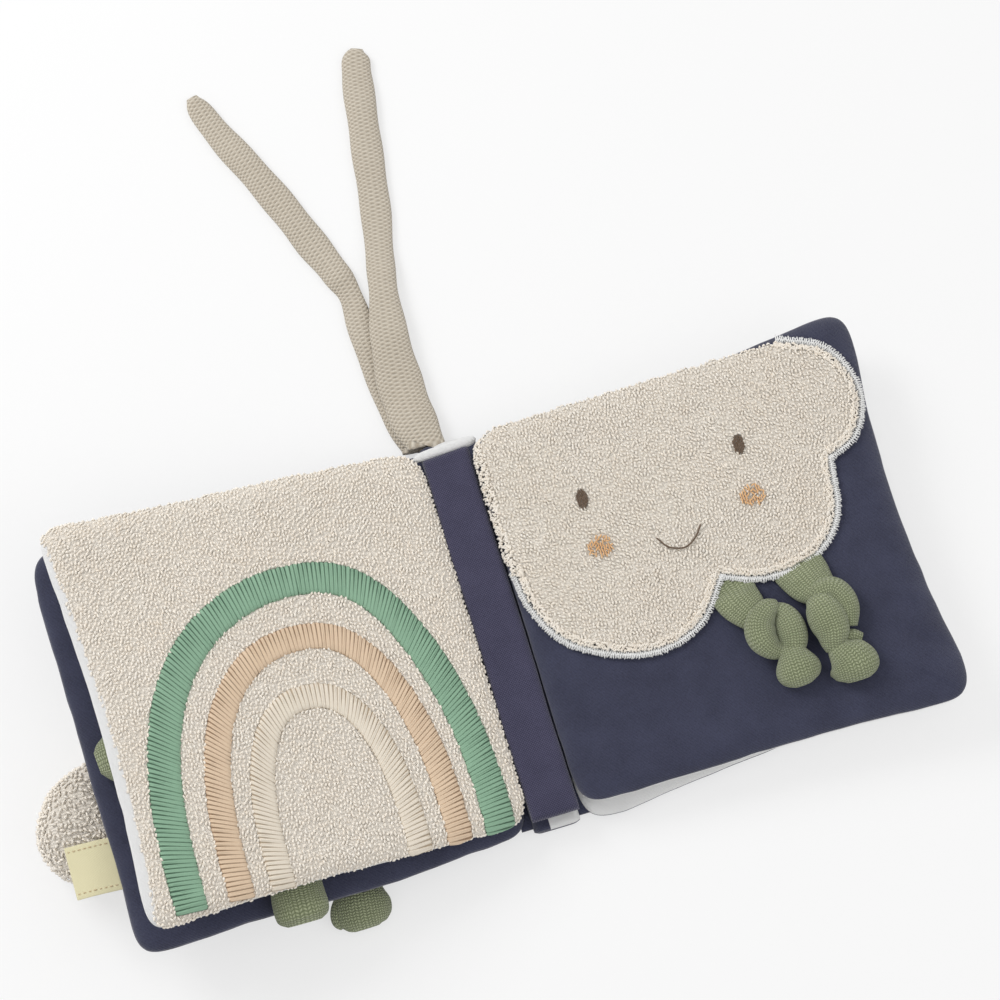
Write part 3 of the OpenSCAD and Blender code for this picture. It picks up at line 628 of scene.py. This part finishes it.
strands = pattern("laid thread", thread_ridges)
page_surface = surface(rainbow)
band_lines = []
for name, band in BANDS.items():
    middle = PAGE_LENGTH / 2 + band["shift"] * MM
    half = PAGE_LENGTH / 2 - band["inset"] * MM
    top = PAGE_HALF - band["down"] * MM
    width = band["width"] * MM
    outer = arch(middle, half, top, band["lean"] * MM)
    inner = arch(middle, half - width, top - width, band["lean"] * MM)
    _, length = evenly((outer + inner) / 2, 10)
    threads = int(length / (band["pitch"] * MM))
    per_thread = len(PAIR[0])
    stations = threads * per_thread + 1
    outer, _ = evenly(outer, stations)
    inner, _ = evenly(inner, stations)
    band_lines.append(((outer + inner) / 2, width / 2))
    rng = np.random.default_rng(len(band_lines))
    fat = rng.uniform(0.75, 1.2, threads + 1)
    slant = rng.uniform(-0.4, 0.4, threads + 1) + 0.3 * (-1) ** np.arange(threads + 1)
    ragged = rng.uniform(-0.25, 0.25, (threads + 1, 2)) * MM
    points, faces, uv = [], [], []
    for i in range(stations):
        thread, phase = divmod(i, per_thread)
        ridge = PAIR[thread % 2][phase] * fat[thread]
        a, b = outer[i], inner[i]
        across, ahead = unit(b - a), unit(np.array([-(b - a)[1], (b - a)[0]]))
        reach = ragged[thread] * (0.7 if phase == 0 else 1)
        for share, rise in zip(ACROSS, CROWN):
            at = a + (b - a) * share - across * reach[0] * (share == 0) + across * reach[1] * (share == 1)
            at = at + ahead * slant[thread] * (share - 0.5) * MM * 0.8
            hit, normal = drop(page_surface, LEFT_PAGE, at[0], max(at[1], 0.4 * MM - PAGE_HALF))
            lift = -0.15 * MM + rise * (0.6 * MM + 0.5 * MM * ridge)
            points.append(hit + normal * lift)
    count = len(ACROSS)
    for i in range(stations - 1):
        for k in range(count - 1):
            a = i * count + k
            faces.append((a, a + count, a + count + 1, a + 1))
            for row, col in ((i, k), (i + 1, k), (i + 1, k + 1), (i, k + 1)):
                uv.append((row / per_thread, ACROSS[col] * band["width"]))
    stitch = cloth(band["slot"].replace("_", " "), strands, 1.0, band["high"], band["low"], 0.15 * MM,
                   rough=0.5, sheen=0.1, flat=False, mottle=0.04, patch=9 * MM, grain=MM)
    sewn = put(name + "_threads", points, faces, [stitch], uv)
    wall = sewn.modifiers.new("thread thickness", "SOLIDIFY")
    wall.thickness, wall.offset = 0.3 * MM, -1
    apply_modifiers(sewn)
    dress(sewn, "book_block", band["slot"], name)


# Terry pile
# Short loops of thick cotton yarn stand all over the ground cloth. They lean with the nap, towards
# the head or the tail, and are crowded closely enough to hide the ground.
LOOP_LENGTH, LOOP_HEIGHT, LOOP_RADIUS, LOOP_SPACING = 1.9 * MM, 0.6 * MM, 0.6 * MM, 1.26 * MM
# The arch of a loop at five places: along it, up, and how thick, as shares of its three sizes
LOOP_ARCH = ((-0.5, -0.1, 0.0), (-0.32, 0.65, 0.95), (0.04, 1.0, 1.1), (0.38, 0.6, 0.95), (0.5, 0.0, 0.0))


def scatter(piece, spacing, keep, seed):
    """Places spread evenly over the faces of a piece, at least a spacing apart, with their normals."""
    mesh = piece.data
    mesh.calc_loop_triangles()
    tris = np.zeros(len(mesh.loop_triangles) * 3, np.int32)
    mesh.loop_triangles.foreach_get("vertices", tris)
    corners = points_of(piece)[tris.reshape(-1, 3)]
    cross = np.cross(corners[:, 1] - corners[:, 0], corners[:, 2] - corners[:, 0])
    area = np.linalg.norm(cross, axis=1) / 2
    normals = unit(cross)
    wanted = keep(corners.mean(1), normals)
    corners, normals, area = corners[wanted], normals[wanted], area[wanted]
    rng = np.random.default_rng(seed)
    tries = int(area.sum() / spacing ** 2 * 5)
    pick = rng.choice(len(area), tries, p=area / area.sum())
    a, b = rng.random(tries), rng.random(tries)
    over = a + b > 1
    a[over], b[over] = 1 - a[over], 1 - b[over]
    c = corners[pick]
    places = c[:, 0] + (c[:, 1] - c[:, 0]) * a[:, None] + (c[:, 2] - c[:, 0]) * b[:, None]
    cells, chosen = {}, []
    keys = np.floor(places / spacing).astype(int)
    near = [(i, j, k) for i in (-1, 0, 1) for j in (-1, 0, 1) for k in (-1, 0, 1)]
    for n in range(tries):
        key, p = keys[n], places[n]
        others = (cells.get((key[0] + i, key[1] + j, key[2] + k)) for i, j, k in near)
        if all(o is None or (p[0] - o[0]) ** 2 + (p[1] - o[1]) ** 2 + (p[2] - o[2]) ** 2 > spacing ** 2
               for o in others):
            cells[tuple(key)] = p
            chosen.append(n)
    return places[chosen], normals[pick[chosen]]


def loops(places, normals, ahead, length, height, radius, seed, sink=0.2 * MM):
    """Points and faces of one small arched loop of yarn at each place, lying along its direction."""
    rng = np.random.default_rng(seed)
    n = len(places)
    normals = np.broadcast_to(normals, (n, 3))
    ahead = unit(ahead - normals * np.sum(ahead * normals, 1, keepdims=True))
    side = np.cross(normals, ahead)
    grow = rng.uniform(0.8, 1.2, n)
    ring = np.array([(0, 1), (-0.87, -0.5), (0.87, -0.5)])
    stations = []
    for x, z, r in LOOP_ARCH:
        centre = (places + ahead * (x * length * grow)[:, None]
                  + normals * ((z * height * grow) - sink)[:, None])
        if r == 0:
            stations.append(centre[:, None])
        else:
            flat = side[:, None] * ring[:, 0, None] * r * radius
            stations.append(centre[:, None] + flat + normals[:, None] * ring[:, 1, None] * r * radius * 0.8)
    block = np.concatenate(stations, 1)
    faces = [(0, 1 + (k + 1) % 3, 1 + k) for k in range(3)]
    for s in (1, 4):
        faces += [(s + k, s + (k + 1) % 3, s + 3 + (k + 1) % 3, s + 3 + k) for k in range(3)]
    faces += [(7 + k, 7 + (k + 1) % 3, 10) for k in range(3)]
    every = [tuple(i + m * block.shape[1] for i in f) for m in range(n) for f in faces]
    return block.reshape(-1, 3), every


def yarn(name, high, low, patch=3.2 * MM, rough=0.85):
    """Spun yarn whose tone changes a little from one loop or stitch to the next."""
    made, tree = new_stuff(name)
    tones = noises(tree, (patch, 2.0), (patch * 7, 2.0), (0.35 * MM, 1.0))
    mean = calc(tree, "ADD", calc(tree, "MULTIPLY", tones[0], 1.5), calc(tree, "MULTIPLY", tones[1], 0.8))
    share = calc(tree, "SUBTRACT", calc(tree, "ADD", mean, calc(tree, "MULTIPLY", tones[2], 0.6)), 0.85)
    finish_cloth(tree, share, high, low, tones[2], 0.8, 0.15 * MM, rough, 0.3)
    return made


def nap(leaf, places, seed):
    """Directions that lie mostly towards the tail and swirl slowly, none quite like the next."""
    u, v, _ = leaf.local(places).T
    turn = (np.random.default_rng(seed).normal(0, 0.4, len(u)) + 0.3
            + 0.45 * ripple(u + 0.5 * v, 41 * MM, seed) + 0.35 * ripple(v - 0.4 * u, 23 * MM, seed + 1))
    return leaf.lying(np.sin(turn), -np.cos(turn))


terry_yarn = yarn("terry yarn", (1.0, 0.945, 0.86), (0.96, 0.87, 0.75))


def in_a_band(u, v, spare):
    """Whether places lie under a stitched band, at least a spare width inside its edges."""
    inside = np.zeros(len(u), bool)
    for line, half in band_lines:
        for part in np.array_split(np.arange(len(u)), max(1, len(u) // 4000)):
            gap = np.hypot(u[part, None] - line[None, ::3, 0], v[part, None] - line[None, ::3, 1]).min(1)
            inside[part] |= gap < half - spare
    return inside & (v > 1.4 * MM - PAGE_HALF)


def on_rainbow(centres, normals):
    u, v, w = LEFT_PAGE.local(centres).T
    up = normals @ LEFT_PAGE.axes[2]
    return (up > -0.2) & (w > 0.7 * MM) & (u < terry_edge(v)) & ~in_a_band(u, v, 1.3 * MM)


places, normals = scatter(rainbow, LOOP_SPACING, on_rainbow, 1)
local = LEFT_PAGE.local(places)
clear = ~in_a_band(local[:, 0], local[:, 1], 0.1 * MM) & (local[:, 0] < terry_edge(local[:, 1]))
places, normals = places[clear], normals[clear]
parts = loops(places, normals, nap(LEFT_PAGE, places, 2), LOOP_LENGTH, LOOP_HEIGHT, LOOP_RADIUS, 3)
pile = put("rainbow_page_pile", *parts, [terry_yarn])
dress(pile, "book_block", "cream_terry")


# Gutter strip
# A folded strip of navy twill covers the seams of both pages in the gutter. It is caught on the
# left under the terry and rolls over on the right into a deep crease beside the night page.
twill = cloth("navy twill", weave, 0.55 * MM, (0.082, 0.078, 0.138), (0.028, 0.027, 0.056), 0.2 * MM,
              sheen=0.4, mottle=0.06)
STRIP_TAIL, STRIP_HEAD = -78.7 * MM, 76.2 * MM
SECTION = [(-9.9, 0.2), (-9.6, 1.6), (-8.4, 2.5), (-6, 2.7), (-3, 2.6), (0, 2.5), (3, 2.7), (5.4, 3.0),
           (7.2, 3.1), (8.6, 2.7), (9.5, 1.9), (9.8, 1.0), (9.5, 0.2), (0, 0.1)]
section = smooth_path(SECTION[:-1], 4) * MM
section = np.vstack([section, [(0, 0.1 * MM)]])
runs = np.linspace(STRIP_TAIL, STRIP_HEAD, 140)
rows = []
for y in runs:
    end = np.clip(min(y - STRIP_TAIL, STRIP_HEAD - y) / (2.2 * MM), 0, 1)
    rise = math.sqrt(1 - (1 - end) ** 2) * 0.75 + 0.25
    sway = 0.25 * MM * ripple(np.array([y]), 19 * MM, 61)[0]
    x = section[:, 0] * (0.985 + 0.015 * end) + sway
    wrinkle = 0.2 * MM * ripple(section[:, 0] + y * 0.3, 9 * MM, 62) * (section[:, 1] > MM)
    z = SEAM_Z + section[:, 1] * rise + wrinkle
    rows.append(np.stack([x, y + 0.07 * x * (y > 0), z], 1))
n = len(section)
faces = [(j * n + i, j * n + (i + 1) % n, (j + 1) * n + (i + 1) % n, (j + 1) * n + i)
         for j in range(len(runs) - 1) for i in range(n)]
faces += [tuple(range(n))[::-1], tuple((len(runs) - 1) * n + i for i in range(n))]
strip = put("gutter_strip_cloth", np.vstack(rows), faces, [twill])
dress(strip, "book_block", "navy_twill", "gutter_strip")


# Cloud
# A cloud cut from the same terry is laid on the night page and sewn down along its free edge with a
# close white zigzag. Its other edges are caught in the head seam and under the gutter strip.
CLOUD_LOOP_HEIGHT, CLOUD_LOOP_RADIUS = 0.75 * MM, 0.57 * MM
cloud = soft_copy("cloud_patch_cloth", "cloud_patch", 1.1 * MM, 2, [terry_ground])
points = points_of(cloud)
u, v, _ = RIGHT_PAGE.local(points).T
reshape(cloud, points + RIGHT_PAGE.axes[2] * swell(u, v, RIGHT["seed"])[:, None])
dress(cloud, "book_block", "cream_terry", "cloud_patch")
FACE = {"eye_left": ((37.8, 39.4), 4.6, 7.5), "eye_right": ((104.5, 41.9), 4.6, 7.5),
        "cheek_left": ((39, 18.5), 10, 9), "cheek_right": ((103.4, 20.2), 10, 9)}


def in_an_eye(u, v):
    inside = np.zeros(len(u), bool)
    for name in ("eye_left", "eye_right"):
        (x, y), wide, high = FACE[name]
        inside |= ((u / MM - x) / (wide / 2)) ** 2 + ((v / MM - y) / (high / 2)) ** 2 < 1
    return inside


def on_cloud(centres, normals):
    u, v, _ = RIGHT_PAGE.local(centres).T
    return (normals @ RIGHT_PAGE.axes[2] > -0.1) & ~in_an_eye(u, v)


places, normals = scatter(cloud, LOOP_SPACING, on_cloud, 5)
parts = loops(places, normals, nap(RIGHT_PAGE, places, 6), LOOP_LENGTH, CLOUD_LOOP_HEIGHT,
              CLOUD_LOOP_RADIUS, 7)
pile = put("cloud_patch_pile", *parts, [terry_yarn])
dress(pile, "book_block", "cream_terry")

# Stitches round the cloud, over a thin white band
# Each stitch starts in the terry and ends in the jersey, so the outer edge is slightly ragged.
LOBES = [[(3.5, 20), (6, 3), (17, -15), (43, -27), (66, -23), (81, -6)],
         [(81, -6), (98, -12), (118, -10), (132, 3), (137, 27)],
         [(137, 27), (150, 33), (157, 50), (150, 69), (132, 79)]]
edging_thread = yarn("white thread", (0.97, 0.97, 0.96), (0.88, 0.88, 0.865), 1.5 * MM, rough=0.6)
band = soft_copy("cloud_edging_band", "cloud_edging", 0.7 * MM, 2, [edging_thread])
dress(band, "book_block", "white_thread", "cloud_edging")
night_surface, cloud_surface = surface(night), surface(cloud)


def over(tree, u, v, rise):
    """The point that stands some mm over a surface of the right page."""
    return drop(tree, RIGHT_PAGE, u, v)[0] + RIGHT_PAGE.axes[2] * rise * MM


rng = np.random.default_rng(8)
thread_rows, loop_rows = [], []
for lobe in LOBES:
    line = smooth_path(lobe, 60)[:, :2] * MM
    _, length = evenly(line, 10)
    line, _ = evenly(line, int(length / (0.45 * MM)))
    go = unit(np.gradient(line, axis=0))
    out = np.stack([go[:, 1], -go[:, 0]], 1)
    for i, (p, o, g) in enumerate(zip(line, out, go)):
        lean = o + g * (0.35 * (-1) ** i + rng.uniform(-0.15, 0.15))
        thread_rows.append((over(night_surface, *(p + o * rng.uniform(0.8, 1.4) * MM), 1.4), lean))
        # Terry that the stitches didn't catch stands over their inner ends
        for inwards in (rng.uniform(0.3, 1.3), rng.uniform(1.4, 2.8))[i % 3 // 2:]:
            loop_rows.append((over(night_surface, *(p - o * inwards * MM), 1.6 + 0.3 * inwards),
                              o + g * rng.normal(0, 1.6)))
# Along the gutter it stands over the rim of the page
for v in np.arange(17, 78, 0.17):
    u = rng.uniform(0.3, 4.6) + (1.5 if v < 22 else 0)
    loop_rows.append((over(night_surface, u * MM, v * MM, 1.3 + 0.3 * u),
                      np.array([-1, rng.normal(0, 0.9)])))
for name, rows, stuff, slot, size in (
        ("cloud_edging_stitches", thread_rows, edging_thread, "white_thread", (3.7, 0.8, 0.3)),
        ("cloud_edge_pile", loop_rows, terry_yarn, "cream_terry", (2.0, 0.95, 0.5))):
    ahead = RIGHT_PAGE.lying(*np.array([lean for _, lean in rows]).T)
    parts = loops(np.array([at for at, _ in rows]), RIGHT_PAGE.axes[2], ahead, *(n * MM for n in size), 9)
    dress(put(name, *parts, [stuff]), "book_block", slot)

# Face on the cloud
# Plain stitching: two dark ovals, two open orange patches that let the terry show, and one curved line.
brown = yarn("brown thread", (0.20, 0.13, 0.08), (0.11, 0.07, 0.04), 1.2 * MM, rough=0.6)
orange = yarn("orange thread", (0.96, 0.62, 0.32), (0.86, 0.50, 0.22), 1.5 * MM, rough=0.6)
for name, ((x, y), wide, high) in FACE.items():
    eye = name.startswith("eye")
    stuff, slot = (brown, "brown_thread") if eye else (orange, "orange_thread")
    rng = np.random.default_rng(len(name) + int(x))
    step_u, step_v = (0.55, 1.5) if eye else (1.0, 1.35)
    places, turns = [], []
    for i, a in enumerate(np.arange(-wide / 2 + 0.3, wide / 2, step_u)):
        for b in np.arange(-high / 2 + 0.5 + 0.7 * (i % 2), high / 2 - 0.2, step_v):
            if (a / (wide / 2)) ** 2 + (b / (high / 2)) ** 2 > 1.02 or (not eye and rng.random() < 0.16):
                continue
            places.append(over(cloud_surface, (x + a) * MM, (y + b) * MM, 0.75 if eye else 0.95))
            turns.append(rng.normal(0, 0.15 if eye else 0.5))
    size = (2.2, 0.5, 0.36) if eye else (2.0, 0.55, 0.36)
    ahead = RIGHT_PAGE.lying(np.sin(turns), np.cos(turns))
    parts = loops(np.array(places), RIGHT_PAGE.axes[2], ahead, *(s * MM for s in size), 10)
    dress(put(name + "_stitches", *parts, [stuff]), "book_block", slot, name)
line = smooth_path([(61.6, 14.6), (65, 10), (71, 8), (76, 10.4), (79.5, 14.6)], 24) * MM
line, _ = evenly(line, 26)
places = np.array([over(cloud_surface, *p, 1.15) for p in line])
ahead = RIGHT_PAGE.lying(*unit(np.gradient(line, axis=0)).T)
parts = loops(places, RIGHT_PAGE.axes[2], ahead, 1.5 * MM, 0.4 * MM, 0.42 * MM, 11)
dress(put("smile_stitches", *parts, [brown]), "book_block", "brown_thread", "smile")


# Knitted legs on the night page
# Each leg is a tube of green knitting, filled a little and tied in one knot above a full foot. The
# knot is the same tube passed round itself, so it is made here as bands that cross and tuck under.
def knit(tree, x, y):
    """Stocking stitch: columns of V-shaped stitches, each leg of a V a slanting strand."""
    place = calc(tree, "SUBTRACT", calc(tree, "FRACT", x), 0.5)
    column = calc(tree, "ABSOLUTE", place)
    rise = calc(tree, "FRACT", calc(tree, "ADD", calc(tree, "MULTIPLY", y, 1.15), column))
    leg = calc(tree, "MAXIMUM", wave(tree, column, 2 * math.pi), 0.0)
    return calc(tree, "MULTIPLY", wave(tree, rise, math.pi), calc(tree, "POWER", leg, 0.6))


KNIT_STITCH = 1.15 * MM
knit_group = pattern("stocking stitch", knit)
green_knit = cloth("green knit", knit_group, KNIT_STITCH, (0.44, 0.48, 0.30), (0.17, 0.20, 0.10), 0.5 * MM,
                   flat=False, mottle=0.04, sheen=0.3)


def band_of_knit(route, power=2.2):
    """A closed knitted tube along a route of (out, headwards, height, half width, half height) in mm."""
    line = smooth_path(route, 6) * MM
    centres = line[:, :3]
    return tube_parts(centres, *bearings(centres), line[:, 3], line[:, 4], 24, power)


# Each band's places (out, headwards, height of its underside, half width, half height) in mm
LEGS = {
    "cloud_leg_left": [
        [(82.2, -9, 0, 9.6, 0.4), (83.6, -13.5, 0, 9.4, 0.6), (84.6, -18, 0, 9.2, 1.7),
         (86.6, -22.5, 0, 8.4, 2.4), (89, -27, 0, 6.8, 3.2), (92, -31.5, .2, 5, 3.4),
         (93.6, -34.5, .6, 3, 2.4)],
        [(96, -26.6, .6, 3, 2.2), (99.2, -29.4, .3, 5, 3.2), (100.6, -34, .3, 6.2, 4),
         (100.6, -39.5, .3, 6.2, 4), (99.4, -43.8, .6, 4.8, 3.4), (97.5, -46, 1.4, 2.4, 2)],
        [(98.5, -25.5, 1.6, 2.8, 2.2), (94, -26.5, 2.4, 4.6, 3.4), (89.8, -30.8, 2.4, 6, 4),
         (88.8, -36.4, 2.2, 6.2, 4.2), (91, -41.2, 1.6, 4.8, 3.6), (94.6, -44.4, 1.6, 2.8, 2.4)],
        [(98.6, -42, 1, 4.6, 2.8), (98.6, -46, .6, 6, 3.8), (98.7, -50.5, .2, 8.6, 4.6),
         (98.8, -54, 0, 9, 4.4), (98.9, -56.8, 0, 7.4, 3.4), (99, -58.6, .8, 3.8, 1.8)]],
    "cloud_leg_right": [
        [(109.5, -6, 0, 10.8, 0.4), (111, -11, 0, 10.8, 0.6), (112.8, -16.4, 0, 10.4, 1.7),
         (114.4, -20.6, 0, 9.6, 2.4), (116.4, -25, 0, 7.8, 3.2), (117.6, -29, .2, 6, 3.6),
         (118, -33, .6, 4, 2.8)],
        [(112.6, -27, .6, 2.8, 2.2), (116.6, -25.4, 1.2, 4.4, 3.2), (121.4, -26, 1.4, 5, 3.8),
         (124.4, -30.2, 1.2, 5, 4), (125, -35.5, .6, 4.6, 4), (123.4, -42, .6, 3.2, 3)],
        [(113.4, -27.6, 1.6, 4, 2.4), (114.6, -30.6, 2.8, 6.4, 3.4), (115.6, -36, 3, 7.8, 4),
         (116, -42, 2.4, 7.2, 4), (115, -47, 1.4, 5, 3.4), (114.4, -50, 1.4, 3.2, 2.4)],
        [(118, -48.2, 1.8, 2.2, 1.8), (122.6, -46, 1.8, 2.8, 2.2), (126.4, -48, 1.4, 2.4, 1.8)],
        [(116.6, -46.6, 1, 4.4, 2.8), (117.4, -50, .6, 6, 3.8), (119.2, -53.8, .2, 9.2, 4.6),
         (120.2, -57.6, 0, 10.3, 4.6), (120.4, -61, 0, 8.8, 3.6), (120.4, -63.2, .8, 5, 1.8)]]}
LEG_LIFT = 0.3
for name, bands in LEGS.items():
    middles = [[(u, v, LEG_LIFT + low + half, wide, half) for u, v, low, wide, half in route]
               for route in bands]
    points, faces, uv = join([band_of_knit(route) for route in middles])
    ground = np.array([RIGHT_PAGE.local(drop(night_surface, RIGHT_PAGE, *p[:2])[0])[2] for p in points])
    points[:, 2] += ground
    leg = put(name + "_knit", RIGHT_PAGE.world(points), faces, [green_knit], uv)
    dress(leg, "book_block", "green_knit", name)


# Knitted limbs and label on the front cover
# An arm and a leg are sewn flat to the inside of the cover, and their ends show past the page. The
# stuffed cloud on the outside of the cover has a knotted leg that shows past the tail.
COVER_LIMBS = {
    "page_arm": [(118, -4, 3, 7, 2.6), (130, -6, 3.4, 8, 3), (142, -9, 4, 9, 3.6),
                 (150, -10.2, 4.4, 9.6, 4), (154, -10.4, 3.8, 7.6, 3.2), (156.6, -10.6, 3.4, 4.4, 1.6)],
    "page_leg": [(92, -48, 2.8, 7, 2.4), (93, -60, 3.2, 7.6, 2.8), (94.6, -72, 3.4, 9.6, 3),
                 (95.6, -81, 4.4, 10.6, 4), (95.8, -86.5, 4.8, 10.9, 4.4), (95.8, -90, 3.9, 10, 3.4),
                 (95.8, -92, 3.4, 7, 1.6)]}
COVER_INSIDE_TOP = 4.5 * MM
for name, route in COVER_LIMBS.items():
    points, faces, uv = band_of_knit(route, power=2.5)
    points[:, 2] += COVER_INSIDE_TOP + 0.2 * MM
    limb = put(name + "_knit", FRONT_COVER.world(points), faces, [green_knit], uv)
    dress(limb, "front_cover", "green_knit", name)
COVER_CLOUD_LEG = [
    [(-80, -63, 3.6, 6.5, 3.4), (-80.6, -74, 3.9, 7, 3.8), (-82, -82, 4.6, 8.6, 4.4),
     (-83, -88, 5.2, 11.4, 5), (-83.6, -93.4, 4.9, 11.2, 4.6), (-83.8, -97, 4.3, 8.6, 3.4),
     (-83.8, -98.6, 4, 5, 1.6)],
    [(-90, -84, 5, 2.6, 2.4), (-92.4, -88.6, 5, 3.4, 3), (-93.6, -92.6, 4.4, 3, 2.6),
     (-92.4, -95.4, 3.6, 1.8, 1.6)]]
points, faces, uv = join([band_of_knit(route) for route in COVER_CLOUD_LEG])
limb = put("cover_cloud_leg_knit", points, faces, [green_knit], uv)
dress(limb, "front_cover", "green_knit", "cover_cloud_leg")

stuffed = soft_copy("cover_cloud_cloth", "cover_cloud", 2.2 * MM, 6, [terry_ground])
dress(stuffed, "front_cover", "cream_terry", "cover_cloud")


def on_stuffed(centres, normals):
    return (normals @ FRONT_COVER.axes[2] < 0.75) | (FRONT_COVER.local(centres)[:, 0] > 150 * MM)


places, normals = scatter(stuffed, 1.7 * MM, on_stuffed, 15)
turn = np.random.default_rng(16).uniform(0, 2 * math.pi, len(places))
ahead = FRONT_COVER.lying(np.sin(turn), np.cos(turn))
points, faces = loops(places, normals, ahead + 0.01, 2.3 * MM, 1.3 * MM, 0.6 * MM, 17)
points[:, 2] = np.maximum(points[:, 2], CLEARANCE)
pile = put("cover_cloud_pile", points, faces, [terry_yarn])
dress(pile, "front_cover", "cream_terry")

# The label is a satin ribbon folded double, with a plain line of stitches along each side
ribbon = cloth("yellow ribbon", weave, 0.4 * MM, (0.80, 0.75, 0.50), (0.70, 0.64, 0.40), 0.05 * MM,
               rough=0.5, mottle=0.03)
rows, cols = 22, 14


def on_label(s, t, rise=0.0):
    """A place on the sagging ribbon, in mm on the cover: s is -0.5 to 0.5 across, t is 0 to 1 outwards."""
    return (158.9 + 17.9 * t, -49 + t + 21 * s,
            -3.5 * t * t + 0.35 * math.sin(5 * t + 2.2 * s) * t + rise)


points = [on_label(i / (cols - 1) - 0.5, j / (rows - 1)) for j in range(rows) for i in range(cols)]
faces, uv = [], []
for j in range(rows - 1):
    for i in range(cols - 1):
        a = j * cols + i
        faces.append((a, a + cols, a + cols + 1, a + 1))
        uv += [(points[k][0] * MM, points[k][1] * MM) for k in (a, a + cols, a + cols + 1, a + 1)]
label = put("side_label_ribbon", FRONT_COVER.world(np.array(points) * MM), faces, [ribbon], uv)
fold = label.modifiers.new("folded double", "SOLIDIFY")
fold.thickness, fold.offset = 0.8 * MM, 0
rim = label.modifiers.new("soft edge", "BEVEL")
rim.width, rim.segments = 0.2 * MM, 2
apply_modifiers(label)
places = [on_label(s, t, 0.42) for s in (-0.4, 0.4) for t in np.arange(0.12, 0.98, 0.115)]
parts = loops(FRONT_COVER.world(np.array(places) * MM), FRONT_COVER.axes[2], FRONT_COVER.axes[0],
              1.4 * MM, 0.25 * MM, 0.2 * MM, 18, 0.05 * MM)
label_thread = yarn("label thread", (0.72, 0.55, 0.34), (0.55, 0.38, 0.2), MM)
seam = put("side_label_stitches", *parts, [label_thread])
dress(seam, "front_cover", "yellow_ribbon")
dress(label, "front_cover", "yellow_ribbon", "side_label")


# Light and floor
# Soft daylight from the upper left of the picture over a white table, with a faint shadow.
def lamp(name, place, size, power):
    data = bpy.data.lights.new(name, "AREA")
    data.shape, data.size, data.energy = "SQUARE", size, power
    made = bpy.data.objects.new(name, data)
    scene.collection.objects.link(made)
    made.location = place
    made.rotation_mode = "QUATERNION"
    made.rotation_quaternion = (-Vector(place)).to_track_quat("-Z", "Y")


lamp("key", (-0.75, 0.95, 0.95), 0.7, 11)
lamp("fill", (0.9, -0.7, 1.1), 1.2, 4)
bpy.ops.object.select_all(action="DESELECT")
bpy.ops.mesh.primitive_plane_add(size=6, location=(0, 0, 0))
floor = bpy.context.object
floor.name = "table_top"
table_white, tree = new_stuff("table white")
shader = tree.nodes["Principled BSDF"]
shader.inputs["Base Color"].default_value = (0.9, 0.9, 0.9, 1)
shader.inputs["Roughness"].default_value = 0.9
# The camera sees most of the table as plain white, and the rest of it keeps the shadow
plain = tree.nodes.new("ShaderNodeEmission")
plain.inputs["Strength"].default_value = 1
blend = tree.nodes.new("ShaderNodeMixShader")
path = tree.nodes.new("ShaderNodeLightPath")
tree.links.new(calc(tree, "MULTIPLY", path.outputs["Is Camera Ray"], 0.6), blend.inputs["Fac"])
tree.links.new(shader.outputs["BSDF"], blend.inputs[1])
tree.links.new(plain.outputs["Emission"], blend.inputs[2])
tree.links.new(blend.outputs["Shader"], tree.nodes["Material Output"].inputs["Surface"])
floor.data.materials.append(table_white)
world = bpy.data.worlds.new("daylight")
scene.world = world
world.use_nodes = True
sky = world.node_tree.nodes["Background"]
sky.inputs["Color"].default_value = (1, 1, 1, 1)
sky.inputs["Strength"].default_value = 0.62
scene.view_settings.view_transform = "Standard"
